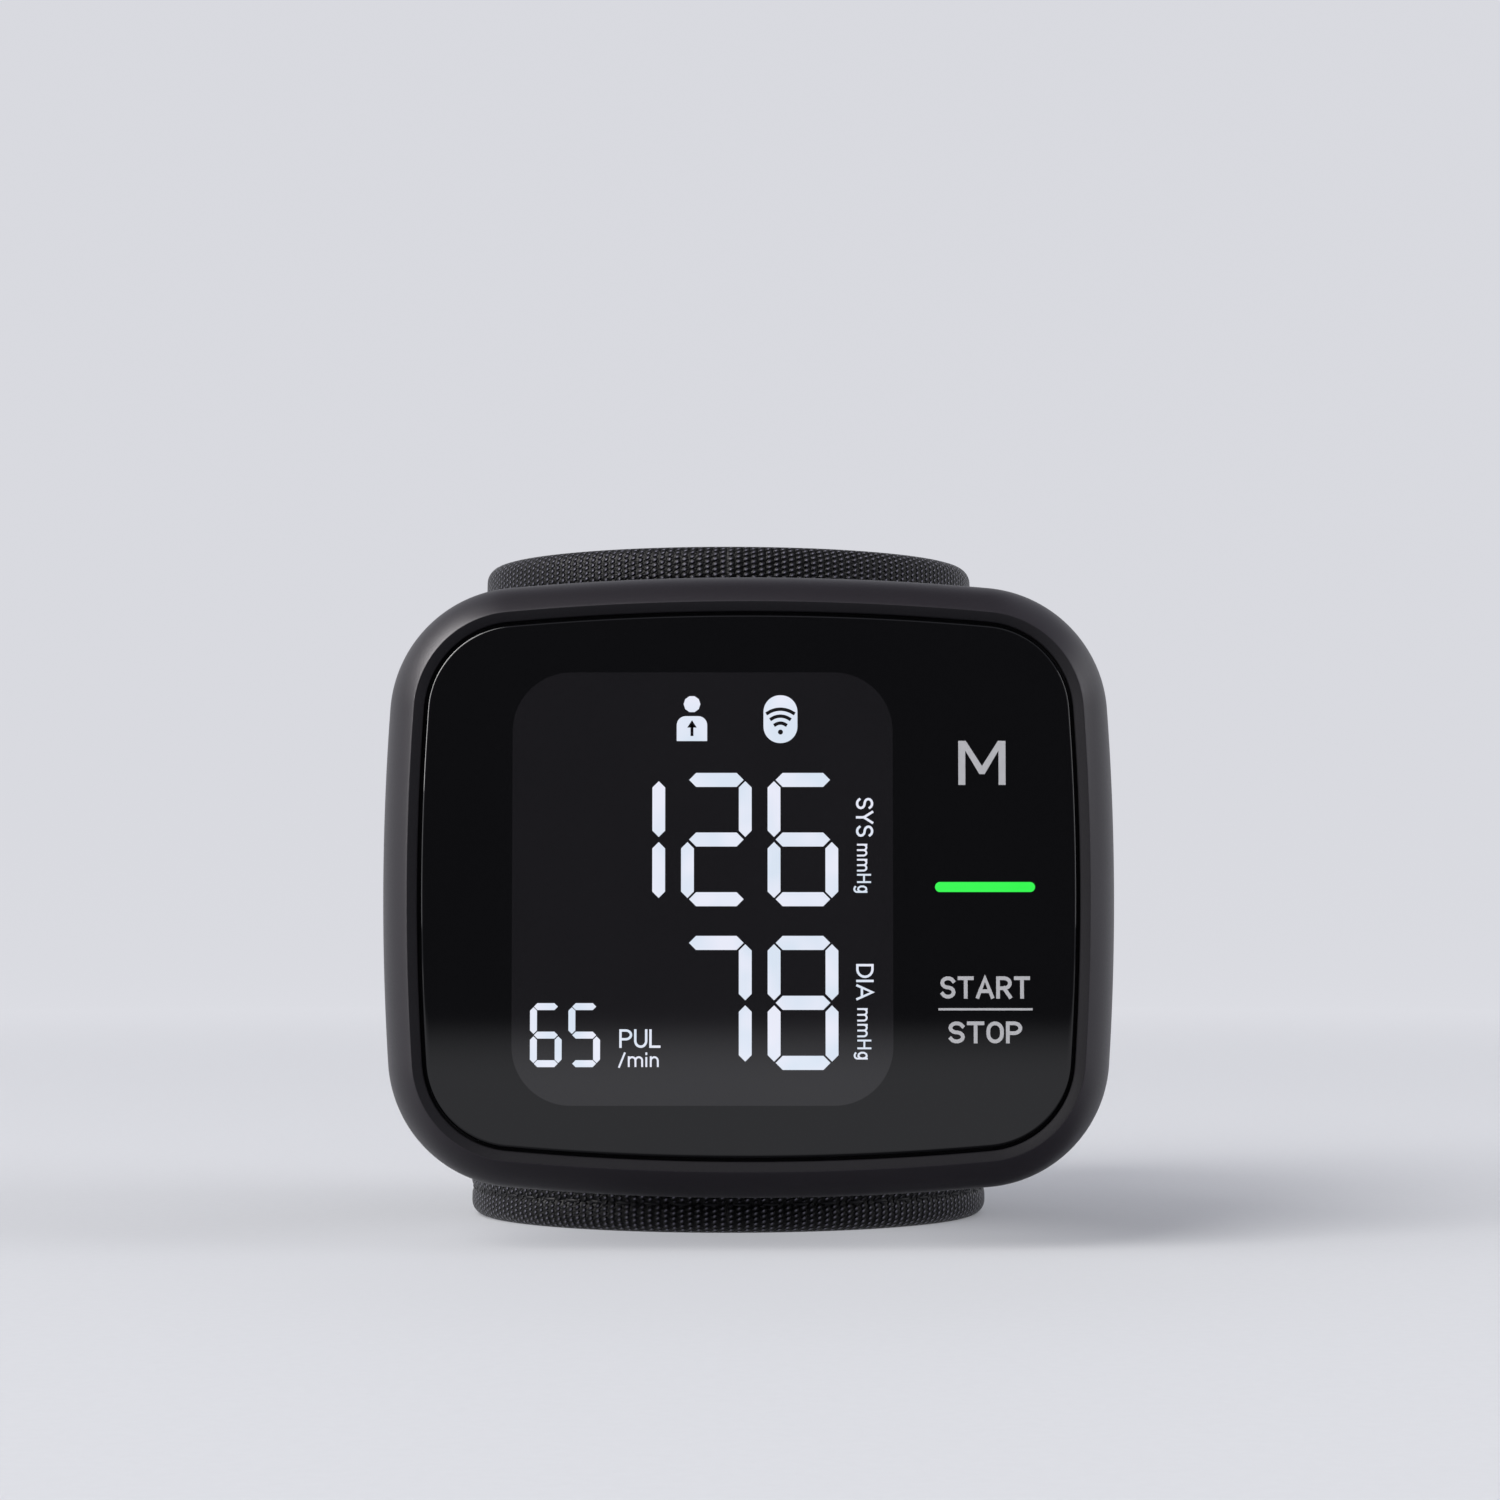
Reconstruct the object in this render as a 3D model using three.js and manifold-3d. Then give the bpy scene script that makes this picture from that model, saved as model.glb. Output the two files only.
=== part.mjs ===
// A wrist blood pressure monitor: a pebble-shaped case with a glossy lens, standing on the padded
// cuff that wraps the wrist. The cuff opens at the back, where a hook tab closes it.
// Millimetres, +Z up. The lens looks along -Y, and the wrist goes through the cuff along Z.
// The origin is on the surface that the cuff stands on, under the middle of the object's box.
import * as THREE from 'three';
import { mergeVertices } from 'three/addons/utils/BufferGeometryUtils.js';
import Module from 'manifold-3d';

const wasm = await Module();
wasm.setup();

// Clearances
const FIT = 0.3; // between pieces that sit against or inside each other
const THREAD_GAP = 0.15; // round a screw in its hole, and round a part pressed on a shaft

// Case outline, seen from the front: four bowed sides joined by round corners
const CASE_WIDTH = 74;
const CASE_HEIGHT = 62.8;
const CASE_CORNER = 13.3;
const SIDE_BOW = 265; // radius of the bowed left and right sides
const TOP_BOW = 270; // radius of the bowed top and bottom

// Case depth, measured back from the crest of the bezel
const BEZEL_ROLL = 3.15; // width of the rolled edge from the side of the case to its crest
const ROLL_DEPTH = 8; // how far behind the crest the case is widest
const CREST_TURN = Math.PI / 3; // how far the rolled edge has turned inwards at its crest
const BEZEL_CHAMFER = 0.95; // width of the chamfer between the crest and the lens
const CHAMFER_DEPTH = 0.55;
const LENS_RECESS = 0.5;
const LENS_THICKNESS = 1.2;
const LENS_EDGE = 0.35; // rounding of the lens's front edge
const TAPE_THICKNESS = 0.2;
const TAPE_WIDTH = 1.6;
const PLATE_THICKNESS = 1.2; // front housing's wall behind the lens
const DISPLAY_DEPTH = 3.2; // room between that wall and the circuit board
const BOARD_THICKNESS = 1;
const BAY_DEPTH = 11.9; // room behind the board for the pump, valve and battery
const WALL = 1.8;
const FRONT_SHELL_DEPTH = 12; // the two shells part here
const REAR_ROLL_WIDTH = 7; // rounding of the rear shell
const REAR_ROLL_DEPTH = 13;
const FLANK_DROP = 12; // how far the back falls away from its middle to its sides
const FLANK_CROWN = 6; // how far the back would stand behind the saddle if the saddle weren't there

// What is seen through the lens and what is touched on it
const DISPLAY_WIDTH = 37.8;
const DISPLAY_HEIGHT = 43;
const DISPLAY_CORNER = 5.7;
const DISPLAY_OFFSET = -4.6; // of its middle from the middle of the case
const DISPLAY_FLANGE = 1.7;
const DISPLAY_FACE_DEPTH = 1.3;
const KEY_PITCH = 12.3; // height of each key above or below the light bar
const KEY_PAD_RADIUS = 4;
const KEY_PAD_THICKNESS = 0.6;
const KEY_STEM_RADIUS = 2.4;
const LIGHT_BAR_LENGTH = 9.9;
const LIGHT_BAR_HEIGHT = 1.1;
const LED_THICKNESS = 0.6;

// Circuit board and what it carries
const BOARD_INSET = 5;
const CHIP_SIZE = 7;
const CHIP_THICKNESS = 0.9;
const CHIP_Z = -20;
const RADIO_WIDTH = 6;
const RADIO_HEIGHT = 9;
const RADIO_THICKNESS = 1.8;
const RADIO_Z = 19;
const USB_WIDTH = 9;
const USB_THICKNESS = 3.2;
const USB_LENGTH = 7.3;
const USB_WALL = 0.3;
const USB_Z = -12;

// Screws
const SCREW_RADIUS = 1;
const SCREW_HEAD_RADIUS = 1.9;
const SCREW_HEAD_THICKNESS = 1.3;
const CASE_SCREW_GRIP = 6; // thread in the front shell's boss
const CASE_SCREW_FROM_SIDE = 8.5;
const CASE_SCREW_FROM_TOP = 9.9;
const CASE_SCREW_SEAT = 4.5; // length of the rear post under the screw's head
const BOSS_WALL = 1.7;
const CUFF_SCREW_RISE = 26.5; // height of each cuff screw above or below the middle
const CUFF_SCREW_GRIP = 4;
const BOARD_SCREW_GRIP = 2.5;

// Battery
const BATTERY_HEIGHT = 34;
const BATTERY_THICKNESS = 5.5;
const BATTERY_FROM_SIDE = 12;
const BATTERY_FROM_VALVE = 4.4;
const BATTERY_DROP = 4.5; // of its middle below the middle of the case
const BATTERY_PAD_THICKNESS = 2;
const BATTERY_PAD_MARGIN = 2.5;
const BATTERY_CORNER = 1.6;

// Diaphragm pump, with its motor below and its outlet on top
const PUMP_FROM_SIDE = 17;
const PUMP_FOOT = -17; // height of the motor's lower end
const MOTOR_RADIUS = 6;
const MOTOR_LENGTH = 14;
const MOTOR_WALL = 1.2;
const ROTOR_LENGTH = 8;
const ROTOR_AIR_GAP = 0.5;
const SHAFT_RADIUS = 0.75;
const SLEEVE_WALL = 0.9;
const SLEEVE_LENGTH = 6;
const SLEEVE_RISE = 3;
const PUMP_RADIUS = 6.3;
const PUMP_LENGTH = 7;
const PUMP_WALL = 1;
const CRANK_RADIUS = 3.2;
const CRANK_THROW = 0.9;
const CRANK_LENGTH = 3;
const DIAPHRAGM_THICKNESS = 1.2;
const PUMP_CAP_LENGTH = 2.6;

// Air path: barbed ports joined by soft tubes
const BARB_RADIUS = 0.8;
const BARB_LENGTH = 3;
const TUBE_WALL = 0.6;
const MANIFOLD_SIZE = 4.4;
const MANIFOLD_Z = 19;
const MANIFOLD_STANDOFF = 0.7; // of the manifold from the board
const SENSOR_SIZE = 7;
const SENSOR_THICKNESS = 4.2;
const SENSOR_FROM_MANIFOLD = 14;
const NIPPLE_RADIUS = 1.5;
const NIPPLE_FLANGE_RADIUS = 2.6;
const NIPPLE_FLANGE_THICKNESS = 0.8;

// Exhaust valve: a solenoid whose plunger closes the seat above it
const VALVE_FROM_PUMP = 14; // between the pump's axis and the valve's
const VALVE_FOOT = -10;
const VALVE_HEIGHT = 12;
const VALVE_WIDTH = 9.2;
const VALVE_PLATE = 1;
const VALVE_TRAVEL = 0.6;
const COIL_RADIUS = 3.8;
const COIL_BORE = 1.6;
const PLUNGER_RADIUS = 1.2;
const PLUNGER_LENGTH = 6.6;
const SPRING_WIRE = 0.3;
const SPRING_TURNS = 4;

// Cuff: a padded band round an oval wrist, a little wider at its foot than at its top
const CUFF_HEIGHT = 72.8;
const CUFF_WIDTH_FOOT = 58;
const CUFF_WIDTH_TOP = 54.8;
const CUFF_DEPTH_FOOT = 52.6;
const CUFF_DEPTH_TOP = 49.4;
const CUFF_OFFSET = -2.3; // of the cuff's middle from the case's
const COVER_THICKNESS = 1.2;
const CURL_THICKNESS = 1.1; // springy plate that keeps the cuff round
const BLADDER_THICKNESS = 2.1;
const LINING_THICKNESS = 1;
const HEM_HEIGHT = 1.8; // cover turned in at the top and the foot
const EDGE_ROUND = 1.6;
const INNER_EDGE_ROUND = 0.8;
const BLADDER_HEIGHT = 48;
const FRONT_SPAN = 42; // degrees each side of the front that stay with the case
const BACK_GAP = 1.5; // degrees left open each side of the back
const HINGE_GAP = 0.4; // between the cuff's front and each wing, at the outer face

// Hook tab that closes the cuff over its back
const TAB_CLOTH = 1.4;
const HOOK_THICKNESS = 0.7;
const TAB_HEIGHT = 58;
const TAB_SEWN_SPAN = 26; // degrees of the left wing that the tab is sewn to
const TAB_SPAN = 42; // degrees that the tab reaches round the right wing
const TAB_CORNER = 11; // round corners of the tab's free end
const HOOK_MARGIN = 4;

// Faceting of round forms
const CORNER_STEPS = 6;
const SIDE_STEPS = 4;
const ROLL_STEPS = 6;
const LATHE_STEPS = 12;
const SCREW_STEPS = 8;
const TUBE_SIDES = 8;
const EDGE_STEPS = 3;
const DEGREES_PER_STEP = 9;

// Depths behind the crest of the bezel
const lensBack = LENS_RECESS + LENS_THICKNESS;
const plateFront = lensBack + TAPE_THICKNESS;
const plateBack = plateFront + PLATE_THICKNESS;
const boardFront = plateBack + DISPLAY_DEPTH;
const boardBack = boardFront + BOARD_THICKNESS;
const saddleInside = boardBack + BAY_DEPTH;
const saddle = saddleInside + WALL; // deepest hollow of the back, where the cuff lies
const rearRim = FRONT_SHELL_DEPTH + FIT;
const cuffFront = saddle + FIT;

// Places in the case, from its middle
const lensInset = BEZEL_ROLL + BEZEL_CHAMFER + FIT;
const displayRight = DISPLAY_OFFSET + DISPLAY_WIDTH / 2;
const keyX = (displayRight + CASE_WIDTH / 2 - lensInset) / 2; // midway from display to lens edge
const pumpX = PUMP_FROM_SIDE - CASE_WIDTH / 2;
const manifoldX = pumpX + VALVE_FROM_PUMP;
const sensorX = manifoldX + SENSOR_FROM_MANIFOLD;
const pumpDepth = boardBack + FIT + MOTOR_RADIUS + FIT + SLEEVE_WALL;
const motorTop = PUMP_FOOT + MOTOR_LENGTH;
const pumpTop = motorTop + PUMP_LENGTH + DIAPHRAGM_THICKNESS + PUMP_CAP_LENGTH;
const manifoldDepth = boardBack + MANIFOLD_STANDOFF + MANIFOLD_SIZE / 2;
const tubeBore = BARB_RADIUS + FIT;
const tubeRadius = tubeBore + TUBE_WALL;
const caseScrewX = CASE_WIDTH / 2 - CASE_SCREW_FROM_SIDE;
const caseScrewZ = CASE_HEIGHT / 2 - CASE_SCREW_FROM_TOP;
const bossRadius = SCREW_RADIUS + THREAD_GAP + BOSS_WALL;
const boardScrewX = displayRight + DISPLAY_FLANGE + bossRadius + 2 * FIT;
const valveDepth = boardBack + VALVE_WIDTH / 2;
const batteryLeft = manifoldX + VALVE_WIDTH / 2 + BATTERY_FROM_VALVE;
const batteryRight = CASE_WIDTH / 2 - BATTERY_FROM_SIDE;
const batteryX = (batteryLeft + batteryRight) / 2;

// Layers of the cuff, inwards from its outer face
const curlOuter = COVER_THICKNESS + FIT;
const bladderOuter = curlOuter + CURL_THICKNESS + FIT;
const liningOuter = bladderOuter + BLADDER_THICKNESS + FIT;
const cuffThickness = liningOuter + LINING_THICKNESS;
const tabInner = -FIT - HOOK_THICKNESS - FIT;
const tabOuter = tabInner - TAB_CLOTH;
const tabFoot = (CUFF_HEIGHT - TAB_HEIGHT) / 2;
const objectDepth = cuffFront + 2 * cuffHalfDepth(tabFoot) - tabOuter;

const PLASTIC = { color: 0x2b2b2e, roughness: 0.5, metalness: 0 };
const INNER_PLASTIC = { color: 0x3a3a3d, roughness: 0.6, metalness: 0 };
const LENS = { color: 0x0b0b0d, roughness: 0.05, metalness: 0 };
const GREEN_LIGHT = { color: 0x35f650, roughness: 0.3, metalness: 0 };
const BOARD = { color: 0x14532d, roughness: 0.5, metalness: 0 };
const CHIP = { color: 0x18181a, roughness: 0.5, metalness: 0 };
const STEEL = { color: 0xb8bbc0, roughness: 0.35, metalness: 1 };
const COPPER = { color: 0xb5703a, roughness: 0.4, metalness: 1 };
const FOIL = { color: 0xc9cbd0, roughness: 0.4, metalness: 0.6 };
const RUBBER = { color: 0x202022, roughness: 0.8, metalness: 0 };
const SILICONE = { color: 0xd9d6cf, roughness: 0.6, metalness: 0 };
const CLOTH = { color: 0x26262a, roughness: 0.9, metalness: 0 };
const LINING = { color: 0x1b1b1e, roughness: 0.85, metalness: 0 };
const BLADDER = { color: 0x8c8f94, roughness: 0.5, metalness: 0 };
const HOOKS = { color: 0x121214, roughness: 0.95, metalness: 0 };

const WELD = 1e-4;

// A closed geometry as a solid, whichever way its faces were wound
function toSolid(geometry) {
  const bare = new THREE.BufferGeometry();
  bare.setAttribute('position', geometry.getAttribute('position'));
  bare.setIndex(geometry.index);
  const welded = mergeVertices(bare, WELD);
  const position = welded.getAttribute('position');
  const corners = welded.index.array;
  const triangles = [];
  let volume = 0;
  const [a, b, c] = [new THREE.Vector3(), new THREE.Vector3(), new THREE.Vector3()];
  for (let i = 0; i < corners.length; i += 3) {
    const [p, q, r] = corners.slice(i, i + 3);
    if (p === q || q === r || r === p) continue;
    triangles.push(p, q, r);
    a.fromBufferAttribute(position, p);
    b.fromBufferAttribute(position, q);
    c.fromBufferAttribute(position, r);
    volume += a.dot(b.cross(c));
  }
  if (volume < 0) triangles.reverse();
  const mesh = new wasm.Mesh({
    numProp: 3,
    vertProperties: new Float32Array(position.array),
    triVerts: new Uint32Array(triangles),
  });
  return new wasm.Manifold(mesh);
}

function toGeometry(solid) {
  const mesh = solid.getMesh();
  const geometry = new THREE.BufferGeometry();
  geometry.setAttribute('position', new THREE.BufferAttribute(mesh.vertProperties, mesh.numProp));
  geometry.setIndex(new THREE.BufferAttribute(mesh.triVerts, 1));
  geometry.computeVertexNormals();
  return geometry;
}

function addPart(group, name, solid, material) {
  const mesh = new THREE.Mesh(toGeometry(solid), new THREE.MeshStandardMaterial(material));
  mesh.name = name;
  group.add(mesh);
}

// Triangles between neighbouring rings of points, from the first ring to the last
function ringFaces(ringCount, pointCount, closed) {
  const faces = [];
  const last = closed ? ringCount : ringCount - 1;
  for (let i = 0; i < last; i += 1) {
    const here = i * pointCount;
    const next = ((i + 1) % ringCount) * pointCount;
    for (let j = 0; j < pointCount; j += 1) {
      const k = (j + 1) % pointCount;
      faces.push(here + j, next + j, next + k, here + j, next + k, here + k);
    }
  }
  return faces;
}

function pointsGeometry(points, faces) {
  const geometry = new THREE.BufferGeometry().setFromPoints(points);
  geometry.setIndex(faces);
  return geometry;
}

// A ring-shaped solid: rings of points joined in turn, the last one to the first
function closedLoft(rings) {
  return toSolid(pointsGeometry(rings.flat(), ringFaces(rings.length, rings[0].length, true)));
}

// A solid between two end sections, each closed by the triangles of its flat contour
function cappedLoft(rings, contour) {
  const faces = ringFaces(rings.length, rings[0].length, false);
  const far = (rings.length - 1) * rings[0].length;
  for (const [a, b, c] of THREE.ShapeUtils.triangulateShape(contour, [])) {
    faces.push(a, b, c, far + c, far + b, far + a);
  }
  return toSolid(pointsGeometry(rings.flat(), faces));
}

function boxSolid(x0, x1, y0, y1, z0, z1) {
  const box = new THREE.BoxGeometry(x1 - x0, y1 - y0, z1 - z0);
  return toSolid(box.translate((x0 + x1) / 2, (y0 + y1) / 2, (z0 + z1) / 2));
}

// A block from the board backwards, in the middle of a place on it
function blockOnBoard(x, z, width, height, thickness) {
  const [halfWidth, halfHeight] = [width / 2, height / 2];
  const back = boardBack + thickness;
  return boxSolid(x - halfWidth, x + halfWidth, boardBack, back, z - halfHeight, z + halfHeight);
}

// A round solid whose profile of [radius, distance] pairs turns about the depth axis
function turnedOnDepth(profile, x, z, steps = LATHE_STEPS) {
  const lathe = new THREE.LatheGeometry(profile.map(([r, y]) => new THREE.Vector2(r, y)), steps);
  return toSolid(lathe.translate(x, 0, z));
}

// A round solid whose profile of [radius, height] pairs turns about an upright axis
function turnedUpright(profile, x, y, steps = LATHE_STEPS) {
  const lathe = new THREE.LatheGeometry(profile.map(([r, z]) => new THREE.Vector2(r, z)), steps);
  return toSolid(lathe.rotateX(Math.PI / 2).translate(x, y, 0));
}

function drillOnDepth(radius, x, z, from, to, steps = LATHE_STEPS) {
  return turnedOnDepth([[0, from], [radius, from], [radius, to], [0, to]], x, z, steps);
}

// A flat shape drawn in x and z, thickened from one depth to another
function slab(shape, front, back) {
  const extruded = new THREE.ExtrudeGeometry(shape, {
    depth: back - front,
    bevelEnabled: false,
    curveSegments: CORNER_STEPS,
  });
  return toSolid(extruded.rotateX(Math.PI / 2).translate(0, back, 0));
}

function roundedRectangle(x, z, width, height, corner) {
  const shape = new THREE.Shape();
  const [left, right] = [x - width / 2, x + width / 2];
  const [foot, top] = [z - height / 2, z + height / 2];
  shape.moveTo(left + corner, foot);
  shape.lineTo(right - corner, foot);
  shape.absarc(right - corner, foot + corner, corner, -Math.PI / 2, 0);
  shape.lineTo(right, top - corner);
  shape.absarc(right - corner, top - corner, corner, 0, Math.PI / 2);
  shape.lineTo(left + corner, top);
  shape.absarc(left + corner, top - corner, corner, Math.PI / 2, Math.PI);
  shape.lineTo(left, foot + corner);
  shape.absarc(left + corner, foot + corner, corner, Math.PI, Math.PI * 1.5);
  return shape;
}

// Centre of the case's upper right corner, where it touches the bowed side and the bowed top
function cornerCentre() {
  const side = new THREE.Vector2(CASE_WIDTH / 2 - SIDE_BOW, 0);
  const top = new THREE.Vector2(0, CASE_HEIGHT / 2 - TOP_BOW);
  const toSide = SIDE_BOW - CASE_CORNER;
  const toTop = TOP_BOW - CASE_CORNER;
  const span = side.distanceTo(top);
  const along = (toSide ** 2 - toTop ** 2 + span ** 2) / (2 * span);
  const across = Math.sqrt(toSide ** 2 - along ** 2);
  const direction = top.clone().sub(side).divideScalar(span);
  const foot = side.clone().addScaledVector(direction, along);
  return foot.add(new THREE.Vector2(-direction.y, direction.x).multiplyScalar(across));
}

// How far the case's side stands from its middle at a height: on the bow, or on the corner past it
function caseSideAt(z) {
  const corner = cornerCentre();
  const centreX = CASE_WIDTH / 2 - SIDE_BOW;
  const bowEnd = SIDE_BOW * Math.sin(Math.atan2(corner.y, corner.x - centreX));
  const height = Math.abs(z);
  if (height <= bowEnd) return centreX + Math.sqrt(SIDE_BOW ** 2 - height ** 2);
  return corner.x + Math.sqrt(CASE_CORNER ** 2 - (height - corner.y) ** 2);
}

// Points of the case's outline in x and z, moved in by an inset, anticlockwise from the right
function caseOutline(inset) {
  const corner = cornerCentre();
  const sideTurn = Math.atan2(corner.y, corner.x - (CASE_WIDTH / 2 - SIDE_BOW));
  const topTurn = Math.atan2(corner.x, corner.y - (CASE_HEIGHT / 2 - TOP_BOW));
  const points = [];
  const arc = (centreX, centreZ, radius, from, to, steps) => {
    for (let i = 0; i < steps; i += 1) {
      const turn = from + ((to - from) * i) / steps;
      points.push(new THREE.Vector2(centreX + radius * Math.cos(turn), centreZ + radius * Math.sin(turn)));
    }
  };
  const [sideRadius, topRadius] = [SIDE_BOW - inset, TOP_BOW - inset];
  const radius = CASE_CORNER - inset;
  const [sideX, topZ] = [CASE_WIDTH / 2 - SIDE_BOW, CASE_HEIGHT / 2 - TOP_BOW];
  const half = Math.PI / 2;
  arc(sideX, 0, sideRadius, -sideTurn, sideTurn, SIDE_STEPS);
  arc(corner.x, corner.y, radius, sideTurn, half - topTurn, CORNER_STEPS);
  arc(0, topZ, topRadius, half - topTurn, half + topTurn, SIDE_STEPS);
  arc(-corner.x, corner.y, radius, half + topTurn, Math.PI - sideTurn, CORNER_STEPS);
  arc(-sideX, 0, sideRadius, Math.PI - sideTurn, Math.PI + sideTurn, SIDE_STEPS);
  arc(-corner.x, -corner.y, radius, Math.PI + sideTurn, 3 * half - topTurn, CORNER_STEPS);
  arc(0, -topZ, topRadius, 3 * half - topTurn, 3 * half + topTurn, SIDE_STEPS);
  arc(corner.x, -corner.y, radius, 3 * half + topTurn, 2 * Math.PI - sideTurn, CORNER_STEPS);
  return points;
}

const outlineRing = (inset, depth) => caseOutline(inset).map((p) => new THREE.Vector3(p.x, depth, p.y));
const outlineShape = (inset) => new THREE.Shape(caseOutline(inset));

// A frame that follows the outline, from a closed profile of [inset, depth] pairs
const outlineFrame = (profile) => closedLoft(profile.map(([inset, depth]) => outlineRing(inset, depth)));

// A solid pebble that follows the outline, from [inset, depth] pairs between two flat ends
function outlinePebble(profile) {
  return cappedLoft(profile.map(([inset, depth]) => outlineRing(inset, depth)), caseOutline(profile[0][0]));
}

// Stretch of an ellipse as [inset, depth] pairs, from the side of the case inwards
function rolledEdge(width, depth, start, direction, lastTurn) {
  const points = [];
  for (let i = 0; i <= ROLL_STEPS; i += 1) {
    const turn = lastTurn * (i / ROLL_STEPS);
    const inset = width * (1 - Math.cos(turn)) / (1 - Math.cos(lastTurn));
    points.push([inset, start + direction * depth * Math.sin(turn) / Math.sin(lastTurn)]);
  }
  return points;
}

const screwColumn = (x) => [1, -1].map((rise) => [x, rise * caseScrewZ]);
const screwPlaces = [1, -1].flatMap((side) => screwColumn(side * caseScrewX));
const boardScrewPlaces = screwColumn(boardScrewX);
const cuffScrewPlaces = [1, -1].map((rise) => [CUFF_OFFSET, rise * CUFF_SCREW_RISE]);

// Front housing: rolled bezel, side wall and the wall behind the lens, moulded in one
function frontHousing() {
  const roll = rolledEdge(BEZEL_ROLL, ROLL_DEPTH, ROLL_DEPTH, -1, CREST_TURN).reverse();
  const chamferInset = BEZEL_ROLL + BEZEL_CHAMFER;
  const ledgeInset = lensInset + TAPE_WIDTH;
  const frame = outlineFrame([
    ...roll,
    [0, FRONT_SHELL_DEPTH],
    [WALL, FRONT_SHELL_DEPTH],
    [WALL, plateBack],
    [ledgeInset, plateBack],
    [ledgeInset, plateFront],
    [chamferInset, plateFront],
    [chamferInset, CHAMFER_DEPTH],
  ]);
  const wall = slab(outlineShape(lensInset), plateFront, plateBack);
  const displayWindow = roundedRectangle(
    DISPLAY_OFFSET, 0, DISPLAY_WIDTH + 2 * FIT, DISPLAY_HEIGHT + 2 * FIT, DISPLAY_CORNER + FIT);
  const slot = roundedRectangle(
    keyX, 0, LIGHT_BAR_LENGTH + 2 * FIT, LIGHT_BAR_HEIGHT + 2 * FIT, LIGHT_BAR_HEIGHT / 2);
  let housing = frame.add(wall);
  for (const [x, z] of screwPlaces) {
    housing = housing.add(drillOnDepth(bossRadius + FIT, x, z, plateFront, boardFront));
    housing = housing.add(drillOnDepth(bossRadius, x, z, plateFront, FRONT_SHELL_DEPTH));
    const holeFoot = FRONT_SHELL_DEPTH - CASE_SCREW_GRIP - FIT;
    const hole = SCREW_RADIUS + THREAD_GAP;
    housing = housing.subtract(drillOnDepth(hole, x, z, holeFoot, rearRim, SCREW_STEPS));
  }
  for (const [x, z] of boardScrewPlaces) {
    housing = housing.add(drillOnDepth(bossRadius, x, z, plateFront, boardFront));
    const hole = drillOnDepth(SCREW_RADIUS + THREAD_GAP, x, z, plateFront + FIT, boardBack, SCREW_STEPS);
    housing = housing.subtract(hole);
  }
  for (const rise of [1, -1]) {
    const hole = drillOnDepth(KEY_PAD_RADIUS + FIT, keyX, rise * KEY_PITCH, lensBack, boardFront);
    housing = housing.subtract(hole);
  }
  const usbMiddle = boardBack + USB_THICKNESS / 2;
  const usbSlot = roundedRectangle(
    USB_Z, usbMiddle, USB_WIDTH + 2 * FIT, USB_THICKNESS + 2 * FIT, USB_THICKNESS / 2);
  housing = housing.subtract(slab(displayWindow, lensBack, boardFront));
  housing = housing.subtract(slab(slot, lensBack, boardFront));
  return housing.subtract(sideSlab(usbSlot, usbMouth - USB_LENGTH - FIT, CASE_WIDTH / 2 + WALL));
}

// A flat shape drawn in height and depth, thickened sideways between two places
function sideSlab(shape, from, to) {
  const extruded = new THREE.ExtrudeGeometry(shape, {
    depth: to - from,
    bevelEnabled: false,
    curveSegments: EDGE_STEPS,
  });
  const turned = new THREE.Matrix4().makeBasis(
    new THREE.Vector3(0, 0, 1), new THREE.Vector3(0, 1, 0), new THREE.Vector3(-1, 0, 0));
  return toSolid(extruded.applyMatrix4(turned).translate(to, 0, 0));
}

// The back in plan: flanks that fall away to the sides, hollowed in the middle to take the cuff.
// The inside of the shell follows the same line, one wall further in.
function backProfile(wall) {
  const shape = new THREE.Shape();
  const reach = CASE_WIDTH / 2 - wall;
  const crown = saddle + FLANK_CROWN - wall;
  const flank = (x) => crown - FLANK_DROP * Math.abs(x / reach) ** 3;
  const hollow = (x) => {
    const [halfWidth, halfDepth] = [cuffHalfWidth(0) + wall, cuffHalfDepth(0) + wall];
    const across = Math.min(1, Math.abs(x - CUFF_OFFSET) / halfWidth);
    return saddle - wall + halfDepth * (1 - Math.sqrt(1 - across ** 2));
  };
  const steps = CORNER_STEPS * SIDE_STEPS;
  shape.moveTo(-CASE_WIDTH / 2, 0);
  for (let i = 0; i <= steps; i += 1) {
    const x = -reach + (2 * reach * i) / steps;
    shape.lineTo(x, Math.min(flank(x), hollow(x)));
  }
  shape.lineTo(CASE_WIDTH / 2, 0);
  return shape;
}

function uprightPrism(shape, halfHeight) {
  const extruded = new THREE.ExtrudeGeometry(shape, { depth: 2 * halfHeight, bevelEnabled: false });
  return toSolid(extruded.translate(0, 0, -halfHeight));
}

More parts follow.
